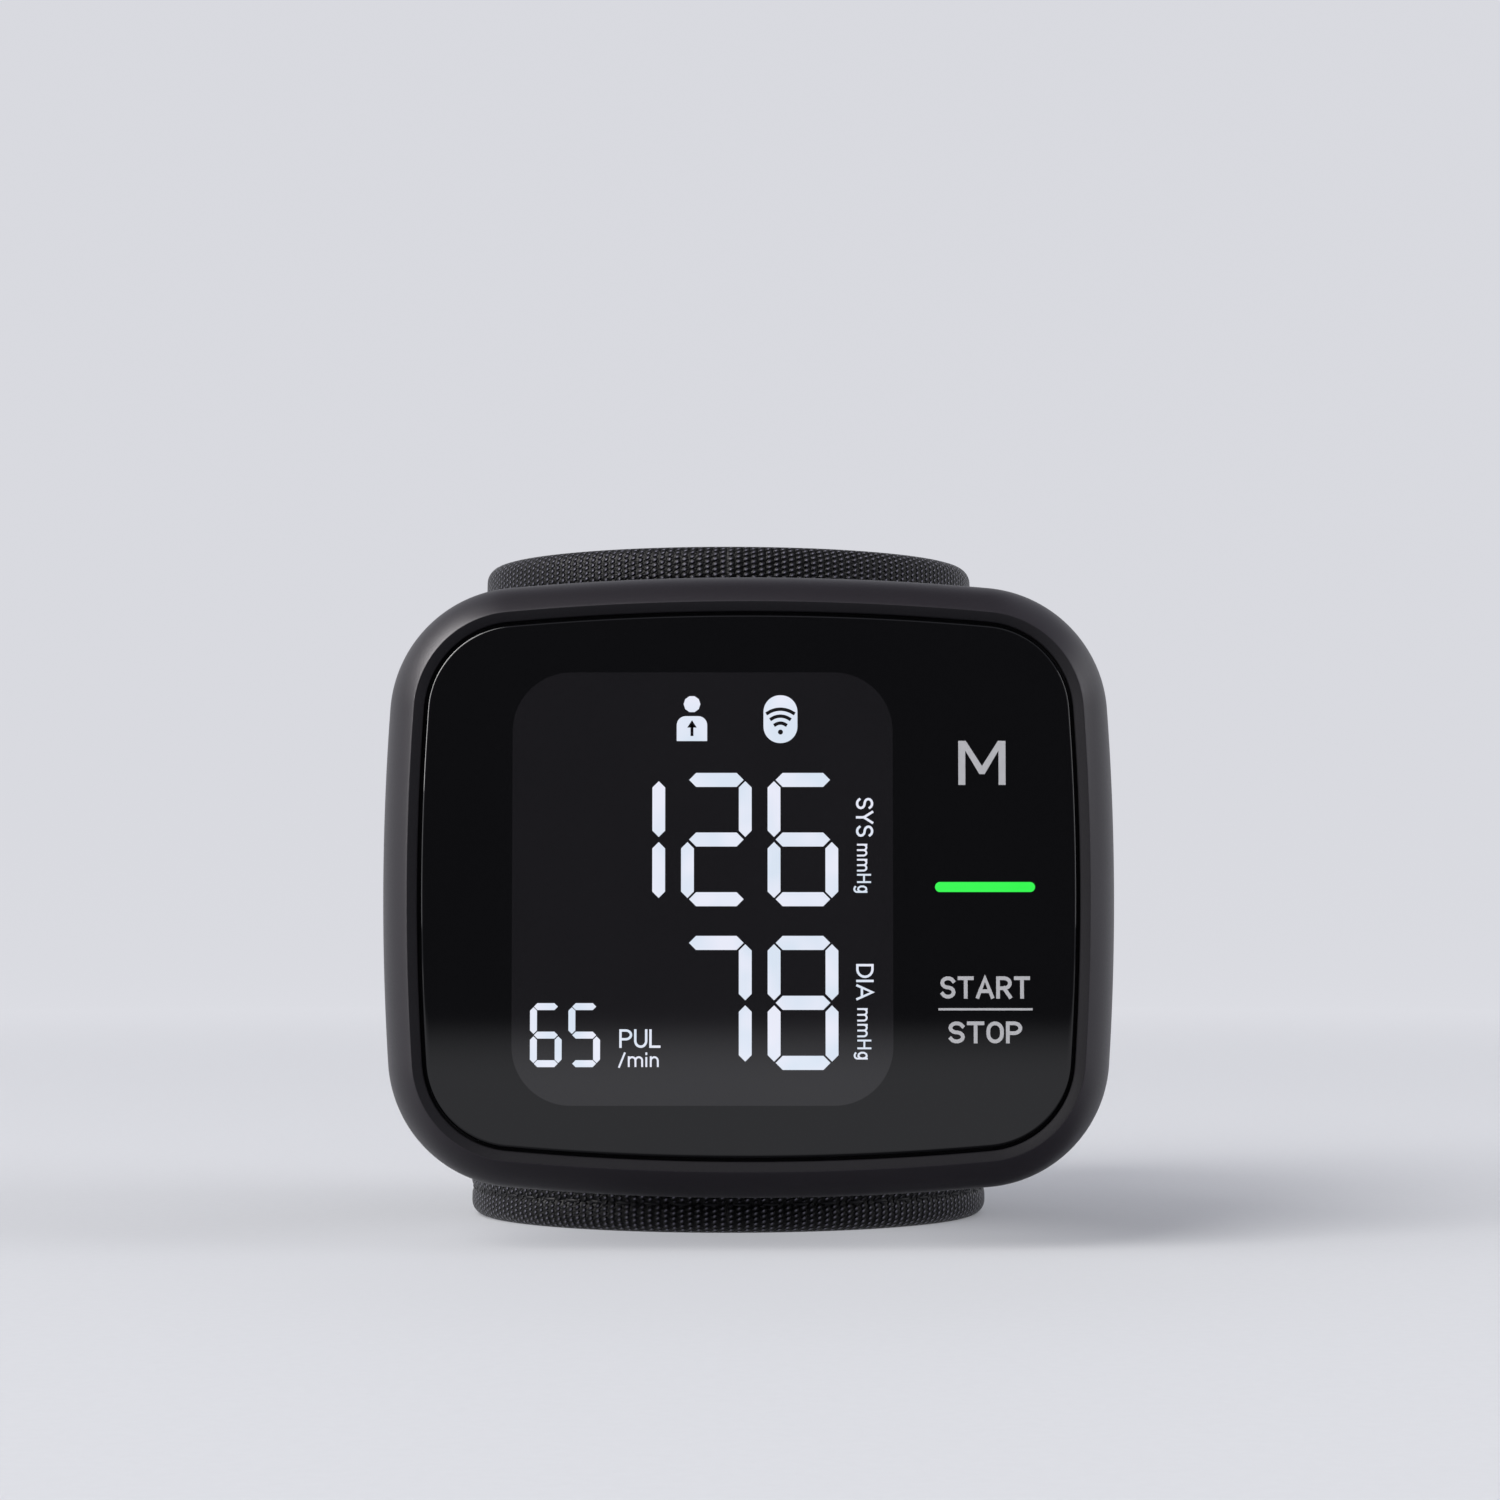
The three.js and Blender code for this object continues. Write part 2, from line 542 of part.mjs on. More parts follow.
// Rear housing: a shell with posts for the case screws and bosses for the cuff's screws
function rearHousing() {
  const pebble = (wall) => {
    const roll = rolledEdge(REAR_ROLL_WIDTH, REAR_ROLL_DEPTH, rearRim, 1, Math.PI / 2);
    const start = wall > 0 ? [[wall, FRONT_SHELL_DEPTH]] : [];
    const profile = roll.map(([inset, depth]) => [inset + wall, depth]);
    return outlinePebble([...start, ...profile]).intersect(uprightPrism(backProfile(wall), CASE_HEIGHT));
  };
  const outside = pebble(0);
  let shell = outside.subtract(pebble(WALL));
  const postRadius = SCREW_HEAD_RADIUS + FIT + BOSS_WALL / 2;
  for (const [x, z] of screwPlaces) {
    shell = shell.add(drillOnDepth(postRadius, x, z, rearRim, saddle + FLANK_CROWN).intersect(outside));
  }
  for (const [x, z] of cuffScrewPlaces) {
    const boss = drillOnDepth(bossRadius, x, z, saddle - CUFF_SCREW_GRIP - WALL, saddle + FIT);
    shell = shell.add(boss.intersect(outside));
  }
  for (const [x, z] of screwPlaces) {
    const seat = rearRim + CASE_SCREW_SEAT;
    const recess = drillOnDepth(SCREW_HEAD_RADIUS + FIT, x, z, seat, saddle + FLANK_CROWN);
    const hole = drillOnDepth(SCREW_RADIUS + THREAD_GAP, x, z, FRONT_SHELL_DEPTH, seat + FIT, SCREW_STEPS);
    shell = shell.subtract(recess).subtract(hole);
  }
  for (const [x, z] of cuffScrewPlaces) {
    const from = saddle - CUFF_SCREW_GRIP - FIT;
    shell = shell.subtract(drillOnDepth(SCREW_RADIUS + THREAD_GAP, x, z, from, saddle + FIT, SCREW_STEPS));
  }
  const [from, to] = [saddleInside - FIT, saddle + WALL];
  return shell.subtract(drillOnDepth(NIPPLE_RADIUS + FIT, manifoldX, MANIFOLD_Z, from, to));
}

// Lens: a flat pane with a rounded front edge
function lens() {
  const profile = [[lensInset, lensBack], [lensInset, LENS_RECESS + LENS_EDGE]];
  for (let i = 1; i <= EDGE_STEPS; i += 1) {
    const turn = (Math.PI / 2) * (i / EDGE_STEPS);
    const inset = lensInset + LENS_EDGE * (1 - Math.cos(turn));
    profile.push([inset, LENS_RECESS + LENS_EDGE * (1 - Math.sin(turn))]);
  }
  return outlinePebble(profile);
}

function lensTape() {
  const outer = lensInset + FIT;
  const inner = lensInset + TAPE_WIDTH;
  return outlineFrame([[outer, lensBack], [outer, plateFront], [inner, plateFront], [inner, lensBack]]);
}

// Display: a lit block that fills its window, with a flange behind the housing's wall
function displayModule() {
  const front = lensBack + FIT;
  const flangeFront = plateBack + FIT;
  const face = roundedRectangle(DISPLAY_OFFSET, 0, DISPLAY_WIDTH, DISPLAY_HEIGHT, DISPLAY_CORNER);
  const [width, height] = [DISPLAY_WIDTH + 2 * DISPLAY_FLANGE, DISPLAY_HEIGHT + 2 * DISPLAY_FLANGE];
  const flange = roundedRectangle(DISPLAY_OFFSET, 0, width, height, DISPLAY_FLANGE);
  return slab(face, front, flangeFront + DISPLAY_FACE_DEPTH).add(slab(flange, flangeFront, boardFront));
}

function lightGuide() {
  const bar = roundedRectangle(keyX, 0, LIGHT_BAR_LENGTH, LIGHT_BAR_HEIGHT, LIGHT_BAR_HEIGHT / 2);
  return slab(bar, lensBack + FIT, boardFront - LED_THICKNESS);
}

function statusLed() {
  const half = LIGHT_BAR_HEIGHT;
  return boxSolid(keyX - half, keyX + half, boardFront - LED_THICKNESS, boardFront, -half / 2, half / 2);
}

// Touch pad: a metal disc held against the lens by a stem that stands on the board
function touchPad(rise) {
  const front = lensBack + FIT;
  const shoulder = front + KEY_PAD_THICKNESS;
  const profile = [
    [0, front], [KEY_PAD_RADIUS, front], [KEY_PAD_RADIUS, shoulder], [KEY_STEM_RADIUS, shoulder],
    [KEY_STEM_RADIUS, boardFront], [0, boardFront],
  ];
  return turnedOnDepth(profile, keyX, rise * KEY_PITCH);
}

function mainBoard() {
  let board = slab(outlineShape(BOARD_INSET), boardFront, boardBack);
  for (const [x, z] of screwPlaces) {
    board = board.subtract(drillOnDepth(bossRadius + FIT / 2, x, z, plateBack, FRONT_SHELL_DEPTH));
  }
  for (const [x, z] of boardScrewPlaces) {
    const hole = SCREW_RADIUS + THREAD_GAP;
    board = board.subtract(drillOnDepth(hole, x, z, plateBack, FRONT_SHELL_DEPTH, SCREW_STEPS));
  }
  return board;
}

// A pan-head screw along the depth axis, with its head behind the seat
function screw(x, z, seat, grip) {
  const tip = seat - grip;
  const profile = [
    [0, tip], [SCREW_RADIUS / 2, tip], [SCREW_RADIUS, tip + SCREW_RADIUS], [SCREW_RADIUS, seat],
    [SCREW_HEAD_RADIUS, seat], [SCREW_HEAD_RADIUS, seat + SCREW_HEAD_THICKNESS * 0.6],
    [SCREW_RADIUS, seat + SCREW_HEAD_THICKNESS], [0, seat + SCREW_HEAD_THICKNESS],
  ];
  return turnedOnDepth(profile, x, z, SCREW_STEPS);
}

// Charging socket: an oval metal shell whose mouth lies just inside the side of the case
const usbMouth = caseSideAt(Math.abs(USB_Z) + USB_WIDTH / 2) - FIT;

function usbSocket() {
  const middle = boardBack + USB_THICKNESS / 2;
  const tube = (wall) => roundedRectangle(
    USB_Z, middle, USB_WIDTH - 2 * wall, USB_THICKNESS - 2 * wall, USB_THICKNESS / 2 - wall - WELD);
  const heel = usbMouth - USB_LENGTH;
  const cavity = sideSlab(tube(USB_WALL), heel + USB_WALL, usbMouth + WALL);
  return sideSlab(tube(0), heel, usbMouth).subtract(cavity);
}

function battery() {
  const width = batteryRight - batteryLeft;
  const pouch = roundedRectangle(batteryX, -BATTERY_DROP, width, BATTERY_HEIGHT, BATTERY_CORNER);
  const front = boardBack + BATTERY_PAD_THICKNESS;
  return slab(pouch, front, front + BATTERY_THICKNESS);
}

// Foam pad under the battery, clear of the board's screws
function batteryPad() {
  const left = batteryLeft + BATTERY_PAD_MARGIN;
  const right = boardScrewX - SCREW_HEAD_RADIUS - FIT;
  const height = BATTERY_HEIGHT - 2 * BATTERY_PAD_MARGIN;
  return blockOnBoard((left + right) / 2, -BATTERY_DROP, right - left, height, BATTERY_PAD_THICKNESS);
}

// Motor can: a cup with a hole in its upper end for the shaft
function pumpMotor() {
  const inner = MOTOR_RADIUS - MOTOR_WALL;
  const bore = SHAFT_RADIUS + FIT;
  return turnedUpright([
    [bore, PUMP_FOOT], [MOTOR_RADIUS, PUMP_FOOT], [MOTOR_RADIUS, motorTop], [bore, motorTop],
    [bore, motorTop - MOTOR_WALL], [inner, motorTop - MOTOR_WALL], [inner, PUMP_FOOT + MOTOR_WALL],
    [bore, PUMP_FOOT + MOTOR_WALL], [bore, PUMP_FOOT],
  ], pumpX, pumpDepth);
}

const crankFoot = motorTop + PUMP_WALL + FIT;
const crankTop = crankFoot + CRANK_LENGTH;

function motorRotor() {
  const armature = MOTOR_RADIUS - MOTOR_WALL - ROTOR_AIR_GAP;
  const foot = PUMP_FOOT + (MOTOR_LENGTH - ROTOR_LENGTH) / 2;
  return turnedUpright([
    [0, PUMP_FOOT + FIT], [SHAFT_RADIUS, PUMP_FOOT + FIT], [SHAFT_RADIUS, foot], [armature, foot],
    [armature, foot + ROTOR_LENGTH], [SHAFT_RADIUS, foot + ROTOR_LENGTH],
    [SHAFT_RADIUS, crankTop - FIT], [0, crankTop - FIT],
  ], pumpX, pumpDepth);
}

// Rubber sleeve that seats the motor on the board
function pumpSleeve() {
  const foot = PUMP_FOOT + SLEEVE_RISE;
  const inner = MOTOR_RADIUS + FIT;
  const outer = inner + SLEEVE_WALL;
  const top = foot + SLEEVE_LENGTH;
  const profile = [[inner, foot], [outer, foot], [outer, top], [inner, top], [inner, foot]];
  return turnedUpright(profile, pumpX, pumpDepth);
}

const pumpHousingTop = motorTop + PUMP_LENGTH;

function pumpHousing() {
  const bore = SHAFT_RADIUS + FIT;
  const inner = PUMP_RADIUS - PUMP_WALL;
  return turnedUpright([
    [bore, motorTop], [PUMP_RADIUS, motorTop], [PUMP_RADIUS, pumpHousingTop], [inner, pumpHousingTop],
    [inner, motorTop + PUMP_WALL], [bore, motorTop + PUMP_WALL], [bore, motorTop],
  ], pumpX, pumpDepth);
}

// Eccentric on the motor's shaft
function pumpCrank() {
  const disc = turnedUpright(
    [[0, crankFoot], [CRANK_RADIUS, crankFoot], [CRANK_RADIUS, crankTop], [0, crankTop]],
    pumpX + CRANK_THROW, pumpDepth);
  const bore = SHAFT_RADIUS + THREAD_GAP;
  const shaft = turnedUpright(
    [[0, motorTop], [bore, motorTop], [bore, crankTop + FIT], [0, crankTop + FIT]], pumpX, pumpDepth);
  return disc.subtract(shaft);
}

function pumpDiaphragm() {
  const top = pumpHousingTop + DIAPHRAGM_THICKNESS;
  const boss = crankTop + FIT;
  return turnedUpright([
    [0, boss], [SHAFT_RADIUS, boss], [CRANK_RADIUS, pumpHousingTop], [PUMP_RADIUS, pumpHousingTop],
    [PUMP_RADIUS, top], [0, top],
  ], pumpX, pumpDepth);
}

function pumpCap() {
  const foot = pumpHousingTop + DIAPHRAGM_THICKNESS;
  return turnedUpright([
    [0, foot], [PUMP_RADIUS, foot], [PUMP_RADIUS, pumpTop], [BARB_RADIUS, pumpTop],
    [BARB_RADIUS, pumpTop + BARB_LENGTH], [0, pumpTop + BARB_LENGTH],
  ], pumpX, pumpDepth);
}

// Manifold: a small block with four barbs, to the pump, the valve, the sensor and the cuff
function airManifold() {
  const half = MANIFOLD_SIZE / 2;
  const [x, y, z] = [manifoldX, manifoldDepth, MANIFOLD_Z];
  const reach = half + BARB_LENGTH;
  const upright = [[0, z - reach], [BARB_RADIUS, z - reach], [BARB_RADIUS, z], [0, z]];
  const back = [[0, y], [BARB_RADIUS, y], [BARB_RADIUS, y + reach], [0, y + reach]];
  const across = new THREE.CylinderGeometry(BARB_RADIUS, BARB_RADIUS, 2 * reach, TUBE_SIDES);
  across.rotateZ(Math.PI / 2).translate(x, y, z);
  return boxSolid(x - half, x + half, y - half, y + half, z - half, z + half)
    .add(turnedUpright(upright, x, y, TUBE_SIDES))
    .add(turnedOnDepth(back, x, z, TUBE_SIDES))
    .add(toSolid(across));
}

// A soft tube along a curve, with a bore that goes over the barbs at its ends
function airTube(points) {
  const wall = new THREE.Shape().absarc(0, 0, tubeRadius, 0, 2 * Math.PI);
  wall.holes.push(new THREE.Path().absarc(0, 0, tubeBore, 0, 2 * Math.PI, true));
  const path = new THREE.CatmullRomCurve3(points.map((p) => new THREE.Vector3(...p)));
  const steps = Math.max(1, 3 * (points.length - 2));
  const half = TUBE_SIDES / 2;
  return toSolid(new THREE.ExtrudeGeometry(wall, { extrudePath: path, steps, curveSegments: half }));
}

const manifoldFace = MANIFOLD_SIZE / 2 + FIT;
const sensorDepth = boardBack + tubeRadius + 2 * FIT;
const sensorPort = sensorX - SENSOR_SIZE / 2;

function pumpTube() {
  const start = pumpTop + FIT;
  const end = manifoldX - manifoldFace;
  const [turnX, turnZ] = [pumpX, MANIFOLD_Z];
  return airTube([
    [pumpX, pumpDepth, start],
    [pumpX, pumpDepth, start + BARB_LENGTH],
    [turnX + tubeRadius, pumpDepth - tubeRadius / 2, turnZ - tubeRadius / 2],
    [end - BARB_LENGTH, manifoldDepth, MANIFOLD_Z],
    [end, manifoldDepth, MANIFOLD_Z],
  ]);
}

function sensorTube() {
  const start = manifoldX + manifoldFace;
  const end = sensorPort - FIT;
  return airTube([
    [start, manifoldDepth, MANIFOLD_Z],
    [start + BARB_LENGTH, manifoldDepth, MANIFOLD_Z],
    [end - BARB_LENGTH, sensorDepth, MANIFOLD_Z],
    [end, sensorDepth, MANIFOLD_Z],
  ]);
}

const valveTop = VALVE_FOOT + VALVE_HEIGHT;

function valveTube() {
  return airTube([
    [manifoldX, manifoldDepth, MANIFOLD_Z - manifoldFace],
    [manifoldX, manifoldDepth, MANIFOLD_Z - manifoldFace - BARB_LENGTH],
    [manifoldX, valveDepth, valveTop + FIT + BARB_LENGTH],
    [manifoldX, valveDepth, valveTop + FIT],
  ]);
}

const nippleFlange = saddleInside - FIT - NIPPLE_FLANGE_THICKNESS;

function cuffTube() {
  return airTube([
    [manifoldX, manifoldDepth + manifoldFace, MANIFOLD_Z],
    [manifoldX, nippleFlange - FIT, MANIFOLD_Z],
  ]);
}

// Pressure sensor: a block on the board with a barb towards the manifold
function pressureSensor() {
  const barb = new THREE.CylinderGeometry(BARB_RADIUS, BARB_RADIUS, 2 * BARB_LENGTH, TUBE_SIDES);
  barb.rotateZ(Math.PI / 2).translate(sensorPort, sensorDepth, MANIFOLD_Z);
  return blockOnBoard(sensorX, MANIFOLD_Z, SENSOR_SIZE, SENSOR_SIZE, SENSOR_THICKNESS).add(toSolid(barb));
}

// Nipple: carries air through the rear housing and the cuff's cover into the bladder
function airNipple() {
  const barbTip = nippleFlange - BARB_LENGTH / 2;
  const bladderFace = cuffFront + bladderOuter + FIT;
  return turnedOnDepth([
    [0, barbTip], [BARB_RADIUS, barbTip], [BARB_RADIUS, nippleFlange], [NIPPLE_FLANGE_RADIUS, nippleFlange],
    [NIPPLE_FLANGE_RADIUS, saddleInside - FIT], [NIPPLE_RADIUS, saddleInside - FIT],
    [NIPPLE_RADIUS, bladderFace], [0, bladderFace],
  ], manifoldX, MANIFOLD_Z);
}

// Valve yoke: a steel frame round the coil, open at both sides
function valveYoke() {
  const half = VALVE_WIDTH / 2;
  const [x, y] = [manifoldX, valveDepth];
  const [foot, top] = [VALVE_FOOT + VALVE_PLATE, valveTop - VALVE_PLATE];
  const block = boxSolid(x - half, x + half, y - half, y + half, VALVE_FOOT, valveTop);
  const inside = half - VALVE_PLATE / 2;
  const hollow = boxSolid(x - VALVE_WIDTH, x + VALVE_WIDTH, y - inside, y + inside, foot, top);
  const hole = [[0, top - FIT], [COIL_BORE, top - FIT], [COIL_BORE, valveTop + FIT], [0, valveTop + FIT]];
  return block.subtract(hollow).subtract(turnedUpright(hole, x, y));
}

function valveCoil() {
  const [foot, top] = [VALVE_FOOT + VALVE_PLATE + FIT, valveTop - VALVE_PLATE - FIT];
  const wall = [[COIL_BORE, foot], [COIL_RADIUS, foot], [COIL_RADIUS, top], [COIL_BORE, top]];
  return turnedUpright([...wall, wall[0]], manifoldX, valveDepth);
}

// The plunger's upper end stays one clearance under the seat when it has travelled up
const plungerTop = valveTop - VALVE_PLATE - FIT - VALVE_TRAVEL;
const plungerFoot = plungerTop - PLUNGER_LENGTH;

function valvePlunger() {
  const profile = [
    [0, plungerFoot], [PLUNGER_RADIUS, plungerFoot], [PLUNGER_RADIUS, plungerTop - PLUNGER_RADIUS / 2],
    [PLUNGER_RADIUS / 2, plungerTop], [0, plungerTop],
  ];
  return turnedUpright(profile, manifoldX, valveDepth, SCREW_STEPS);
}

// Return spring under the plunger, one unbroken wire with square ends
function valveSpring() {
  const radius = PLUNGER_RADIUS - SPRING_WIRE;
  const foot = VALVE_FOOT + VALVE_PLATE + FIT;
  const rise = plungerFoot - FIT - SPRING_WIRE - foot;
  const stepsPerTurn = 8;
  const points = [];
  for (let i = 0; i <= SPRING_TURNS * stepsPerTurn; i += 1) {
    const turn = (2 * Math.PI * i) / stepsPerTurn;
    const z = foot + SPRING_WIRE / 2 + (rise * i) / (SPRING_TURNS * stepsPerTurn);
    points.push(new THREE.Vector3(
      manifoldX + radius * Math.cos(turn), valveDepth + radius * Math.sin(turn), z));
  }
  const wire = new THREE.Shape().absarc(0, 0, SPRING_WIRE / 2, 0, 2 * Math.PI);
  const path = new THREE.CatmullRomCurve3(points);
  const steps = SPRING_TURNS * stepsPerTurn;
  return toSolid(new THREE.ExtrudeGeometry(wire, { extrudePath: path, steps, curveSegments: 2 }));
}

// Valve seat: plugs the yoke's upper plate and carries the inlet barb
function valveSeat() {
  const foot = valveTop - VALVE_PLATE;
  const plug = COIL_BORE - FIT;
  const profile = [
    [0, foot], [plug, foot], [plug, valveTop], [BARB_RADIUS, valveTop],
    [BARB_RADIUS, valveTop + BARB_LENGTH], [0, valveTop + BARB_LENGTH],
  ];
  return turnedUpright(profile, manifoldX, valveDepth);
}

function cuffHalfWidth(z) {
  return THREE.MathUtils.mapLinear(z, 0, CUFF_HEIGHT, CUFF_WIDTH_FOOT, CUFF_WIDTH_TOP) / 2;
}

function cuffHalfDepth(z) {
  return THREE.MathUtils.mapLinear(z, 0, CUFF_HEIGHT, CUFF_DEPTH_FOOT, CUFF_DEPTH_TOP) / 2;
}

// A point of the cuff: an angle in degrees from the front, a distance in from the outer face and a
// height. The front of the cuff is upright, so its taper shows at the sides and the back.
function cuffPoint(angle, inwards, z) {
  const turn = THREE.MathUtils.degToRad(angle);
  const halfDepth = cuffHalfDepth(z);
  const x = (cuffHalfWidth(z) - inwards) * Math.sin(turn);
  return new THREE.Vector3(x, halfDepth - (halfDepth - inwards) * Math.cos(turn), z);
}

// A stretch of the cuff: a section of [inwards, height] pairs carried round between two angles
function cuffStretch(sectionAt, from, to) {
  const steps = Math.ceil(Math.abs(to - from) / DEGREES_PER_STEP);
  const rings = [];
  for (let i = 0; i <= steps; i += 1) {
    const angle = from + ((to - from) * i) / steps;
    rings.push(sectionAt(angle).map(([inwards, z]) => cuffPoint(angle, inwards, z)));
  }
  return cappedLoft(rings, sectionAt(from).map(([inwards, z]) => new THREE.Vector2(inwards, z)));
}

function band(outer, inner, foot, top) {
  return [[outer, foot], [inner, foot], [inner, top], [outer, top]];
}

// Cover's section: the outer face, with hems turned in over the edges of the layers inside
function coverSection() {
  const points = [];
  const round = (centreIn, centreZ, radius, from) => {
    for (let i = 0; i <= EDGE_STEPS; i += 1) {
      const turn = from + (Math.PI / 2) * (i / EDGE_STEPS);
      points.push([centreIn + radius * Math.cos(turn), centreZ + radius * Math.sin(turn)]);
    }
  };
  const innerEdge = cuffThickness - INNER_EDGE_ROUND;
  const top = CUFF_HEIGHT - HEM_HEIGHT;
  round(EDGE_ROUND, EDGE_ROUND, EDGE_ROUND, Math.PI);
  round(innerEdge, INNER_EDGE_ROUND, INNER_EDGE_ROUND, Math.PI * 1.5);
  points.push([cuffThickness, HEM_HEIGHT], [COVER_THICKNESS, HEM_HEIGHT]);
  points.push([COVER_THICKNESS, top], [cuffThickness, top]);
  round(innerEdge, CUFF_HEIGHT - INNER_EDGE_ROUND, INNER_EDGE_ROUND, 0);
  round(EDGE_ROUND, CUFF_HEIGHT - EDGE_ROUND, EDGE_ROUND, Math.PI / 2);
  return points;
}

// Each wing starts a hinge gap after the front stretch and ends short of the back
const hingeGapAngle = THREE.MathUtils.radToDeg(HINGE_GAP / cuffHalfWidth(0));
const stretches = {
  front: [-FRONT_SPAN, FRONT_SPAN],
  left: [-180 + BACK_GAP, -FRONT_SPAN - hingeGapAngle],
  right: [FRONT_SPAN + hingeGapAngle, 180 - BACK_GAP],
};

// Holes through the cuff's front for the nipple and the two cuff screws
function drillCuffFront(layer, nippleClearance) {
  let drilled = layer;
  const middle = CUFF_HEIGHT / 2;
  const through = [-cuffThickness, cuffThickness - LINING_THICKNESS];
  for (const [x, z] of cuffScrewPlaces) {
    const hole = drillOnDepth(SCREW_RADIUS + FIT, x - CUFF_OFFSET, z + middle, ...through, SCREW_STEPS);
    drilled = drilled.subtract(hole);
  }
  const [x, z] = [manifoldX - CUFF_OFFSET, MANIFOLD_Z + middle];
  return drilled.subtract(drillOnDepth(NIPPLE_RADIUS + nippleClearance, x, z, ...through));
}

function cuffLayers(group) {
  const layerFoot = HEM_HEIGHT + FIT;
  const layerTop = CUFF_HEIGHT - layerFoot;
  const bladderFoot = (CUFF_HEIGHT - BLADDER_HEIGHT) / 2;
  const bladderTop = CUFF_HEIGHT - bladderFoot;
  const curl = band(curlOuter, curlOuter + CURL_THICKNESS, layerFoot, layerTop);
  const bladder = band(bladderOuter, bladderOuter + BLADDER_THICKNESS, bladderFoot, bladderTop);
  const lining = band(liningOuter, cuffThickness, layerFoot, layerTop);
  for (const [side, [from, to]] of Object.entries(stretches)) {
    const cover = cuffStretch(coverSection, from, to);
    const plate = cuffStretch(() => curl, from, to);
    const cell = cuffStretch(() => bladder, from, to);
    const isFront = side === 'front';
    addPart(group, `cuff_cover_${side}`, isFront ? drillCuffFront(cover, FIT) : cover, CLOTH);
    addPart(group, `cuff_curl_${side}`, isFront ? drillCuffFront(plate, FIT) : plate, INNER_PLASTIC);
    addPart(group, `air_bladder_${side}`, isFront ? bladderPort(cell) : cell, BLADDER);
    addPart(group, `cuff_lining_${side}`, cuffStretch(() => lining, from, to), LINING);
  }
}

// Blind port in the bladder's front cell, where the nipple's end sits
function bladderPort(cell) {
  const [x, z] = [manifoldX - CUFF_OFFSET, MANIFOLD_Z + CUFF_HEIGHT / 2];
  const floor = bladderOuter + 3 * FIT;
  return cell.subtract(drillOnDepth(NIPPLE_RADIUS + FIT, x, z, 0, floor));
}

// The tab narrows to round corners over the last stretch before its free end
function tabEnd(angle, end, margin) {
  const halfHeight = TAB_HEIGHT / 2 - margin;
  const corner = TAB_CORNER - margin;
  const toEnd = THREE.MathUtils.degToRad(Math.abs(end - angle)) * cuffHalfWidth(CUFF_HEIGHT);
  const short = Math.max(0, corner - toEnd);
  return halfHeight - corner + Math.sqrt(corner ** 2 - short ** 2);
}

function hookTab(group) {
  const middle = CUFF_HEIGHT / 2;
  const hinge = -180 + BACK_GAP;
  const end = -180 - TAB_SPAN;
  const sewn = band(tabOuter, -FIT, tabFoot, tabFoot + TAB_HEIGHT);
  const tabSection = (angle) => {
    const half = tabEnd(angle, end, 0);
    return band(tabOuter, tabInner, middle - half, middle + half);
  };
  const hookEnd = end + THREE.MathUtils.radToDeg(HOOK_MARGIN / cuffHalfWidth(CUFF_HEIGHT));
  const hookSection = (angle) => {
    const half = tabEnd(angle, hookEnd, HOOK_MARGIN);
    return band(tabInner + FIT, -FIT, middle - half, middle + half);
  };
  addPart(group, 'tab_root', cuffStretch(() => sewn, hinge, hinge + TAB_SEWN_SPAN), CLOTH);
  addPart(group, 'hook_tab', cuffStretch(tabSection, hinge - hingeGapAngle, end), CLOTH);
  addPart(group, 'hook_strip', cuffStretch(hookSection, -180 - BACK_GAP, hookEnd), HOOKS);
}

function electronics(group) {
  addPart(group, 'display_module', displayModule(), INNER_PLASTIC);
  addPart(group, 'light_guide', lightGuide(), GREEN_LIGHT);
  addPart(group, 'status_led', statusLed(), FOIL);
  addPart(group, 'memory_touch_pad', touchPad(1), STEEL);
  addPart(group, 'start_touch_pad', touchPad(-1), STEEL);
  addPart(group, 'main_board', mainBoard(), BOARD);
  const controller = blockOnBoard(manifoldX, CHIP_Z, CHIP_SIZE, CHIP_SIZE, CHIP_THICKNESS);
  const radio = blockOnBoard(pumpX, RADIO_Z, RADIO_WIDTH, RADIO_HEIGHT, RADIO_THICKNESS);
  addPart(group, 'controller_chip', controller, CHIP);
  addPart(group, 'radio_module', radio, FOIL);
  addPart(group, 'usb_socket', usbSocket(), STEEL);
  addPart(group, 'battery', battery(), FOIL);
  addPart(group, 'battery_pad', batteryPad(), RUBBER);
}

function pneumatics(group) {
  addPart(group, 'pump_motor', pumpMotor(), STEEL);
  addPart(group, 'motor_rotor', motorRotor(), COPPER);
  addPart(group, 'pump_sleeve', pumpSleeve(), RUBBER);
  addPart(group, 'pump_housing', pumpHousing(), INNER_PLASTIC);
  addPart(group, 'pump_crank', pumpCrank(), INNER_PLASTIC);
  addPart(group, 'pump_diaphragm', pumpDiaphragm(), RUBBER);
  addPart(group, 'pump_cap', pumpCap(), INNER_PLASTIC);
  addPart(group, 'air_manifold', airManifold(), INNER_PLASTIC);
  addPart(group, 'pump_tube', pumpTube(), SILICONE);
  addPart(group, 'sensor_tube', sensorTube(), SILICONE);
  addPart(group, 'valve_tube', valveTube(), SILICONE);
  addPart(group, 'cuff_tube', cuffTube(), SILICONE);
  addPart(group, 'pressure_sensor', pressureSensor(), CHIP);
  addPart(group, 'air_nipple', airNipple(), INNER_PLASTIC);
  addPart(group, 'valve_yoke', valveYoke(), STEEL);
  addPart(group, 'valve_coil', valveCoil(), COPPER);
  addPart(group, 'valve_plunger', valvePlunger(), STEEL);
  addPart(group, 'valve_spring', valveSpring(), STEEL);
  addPart(group, 'valve_seat', valveSeat(), RUBBER);
}

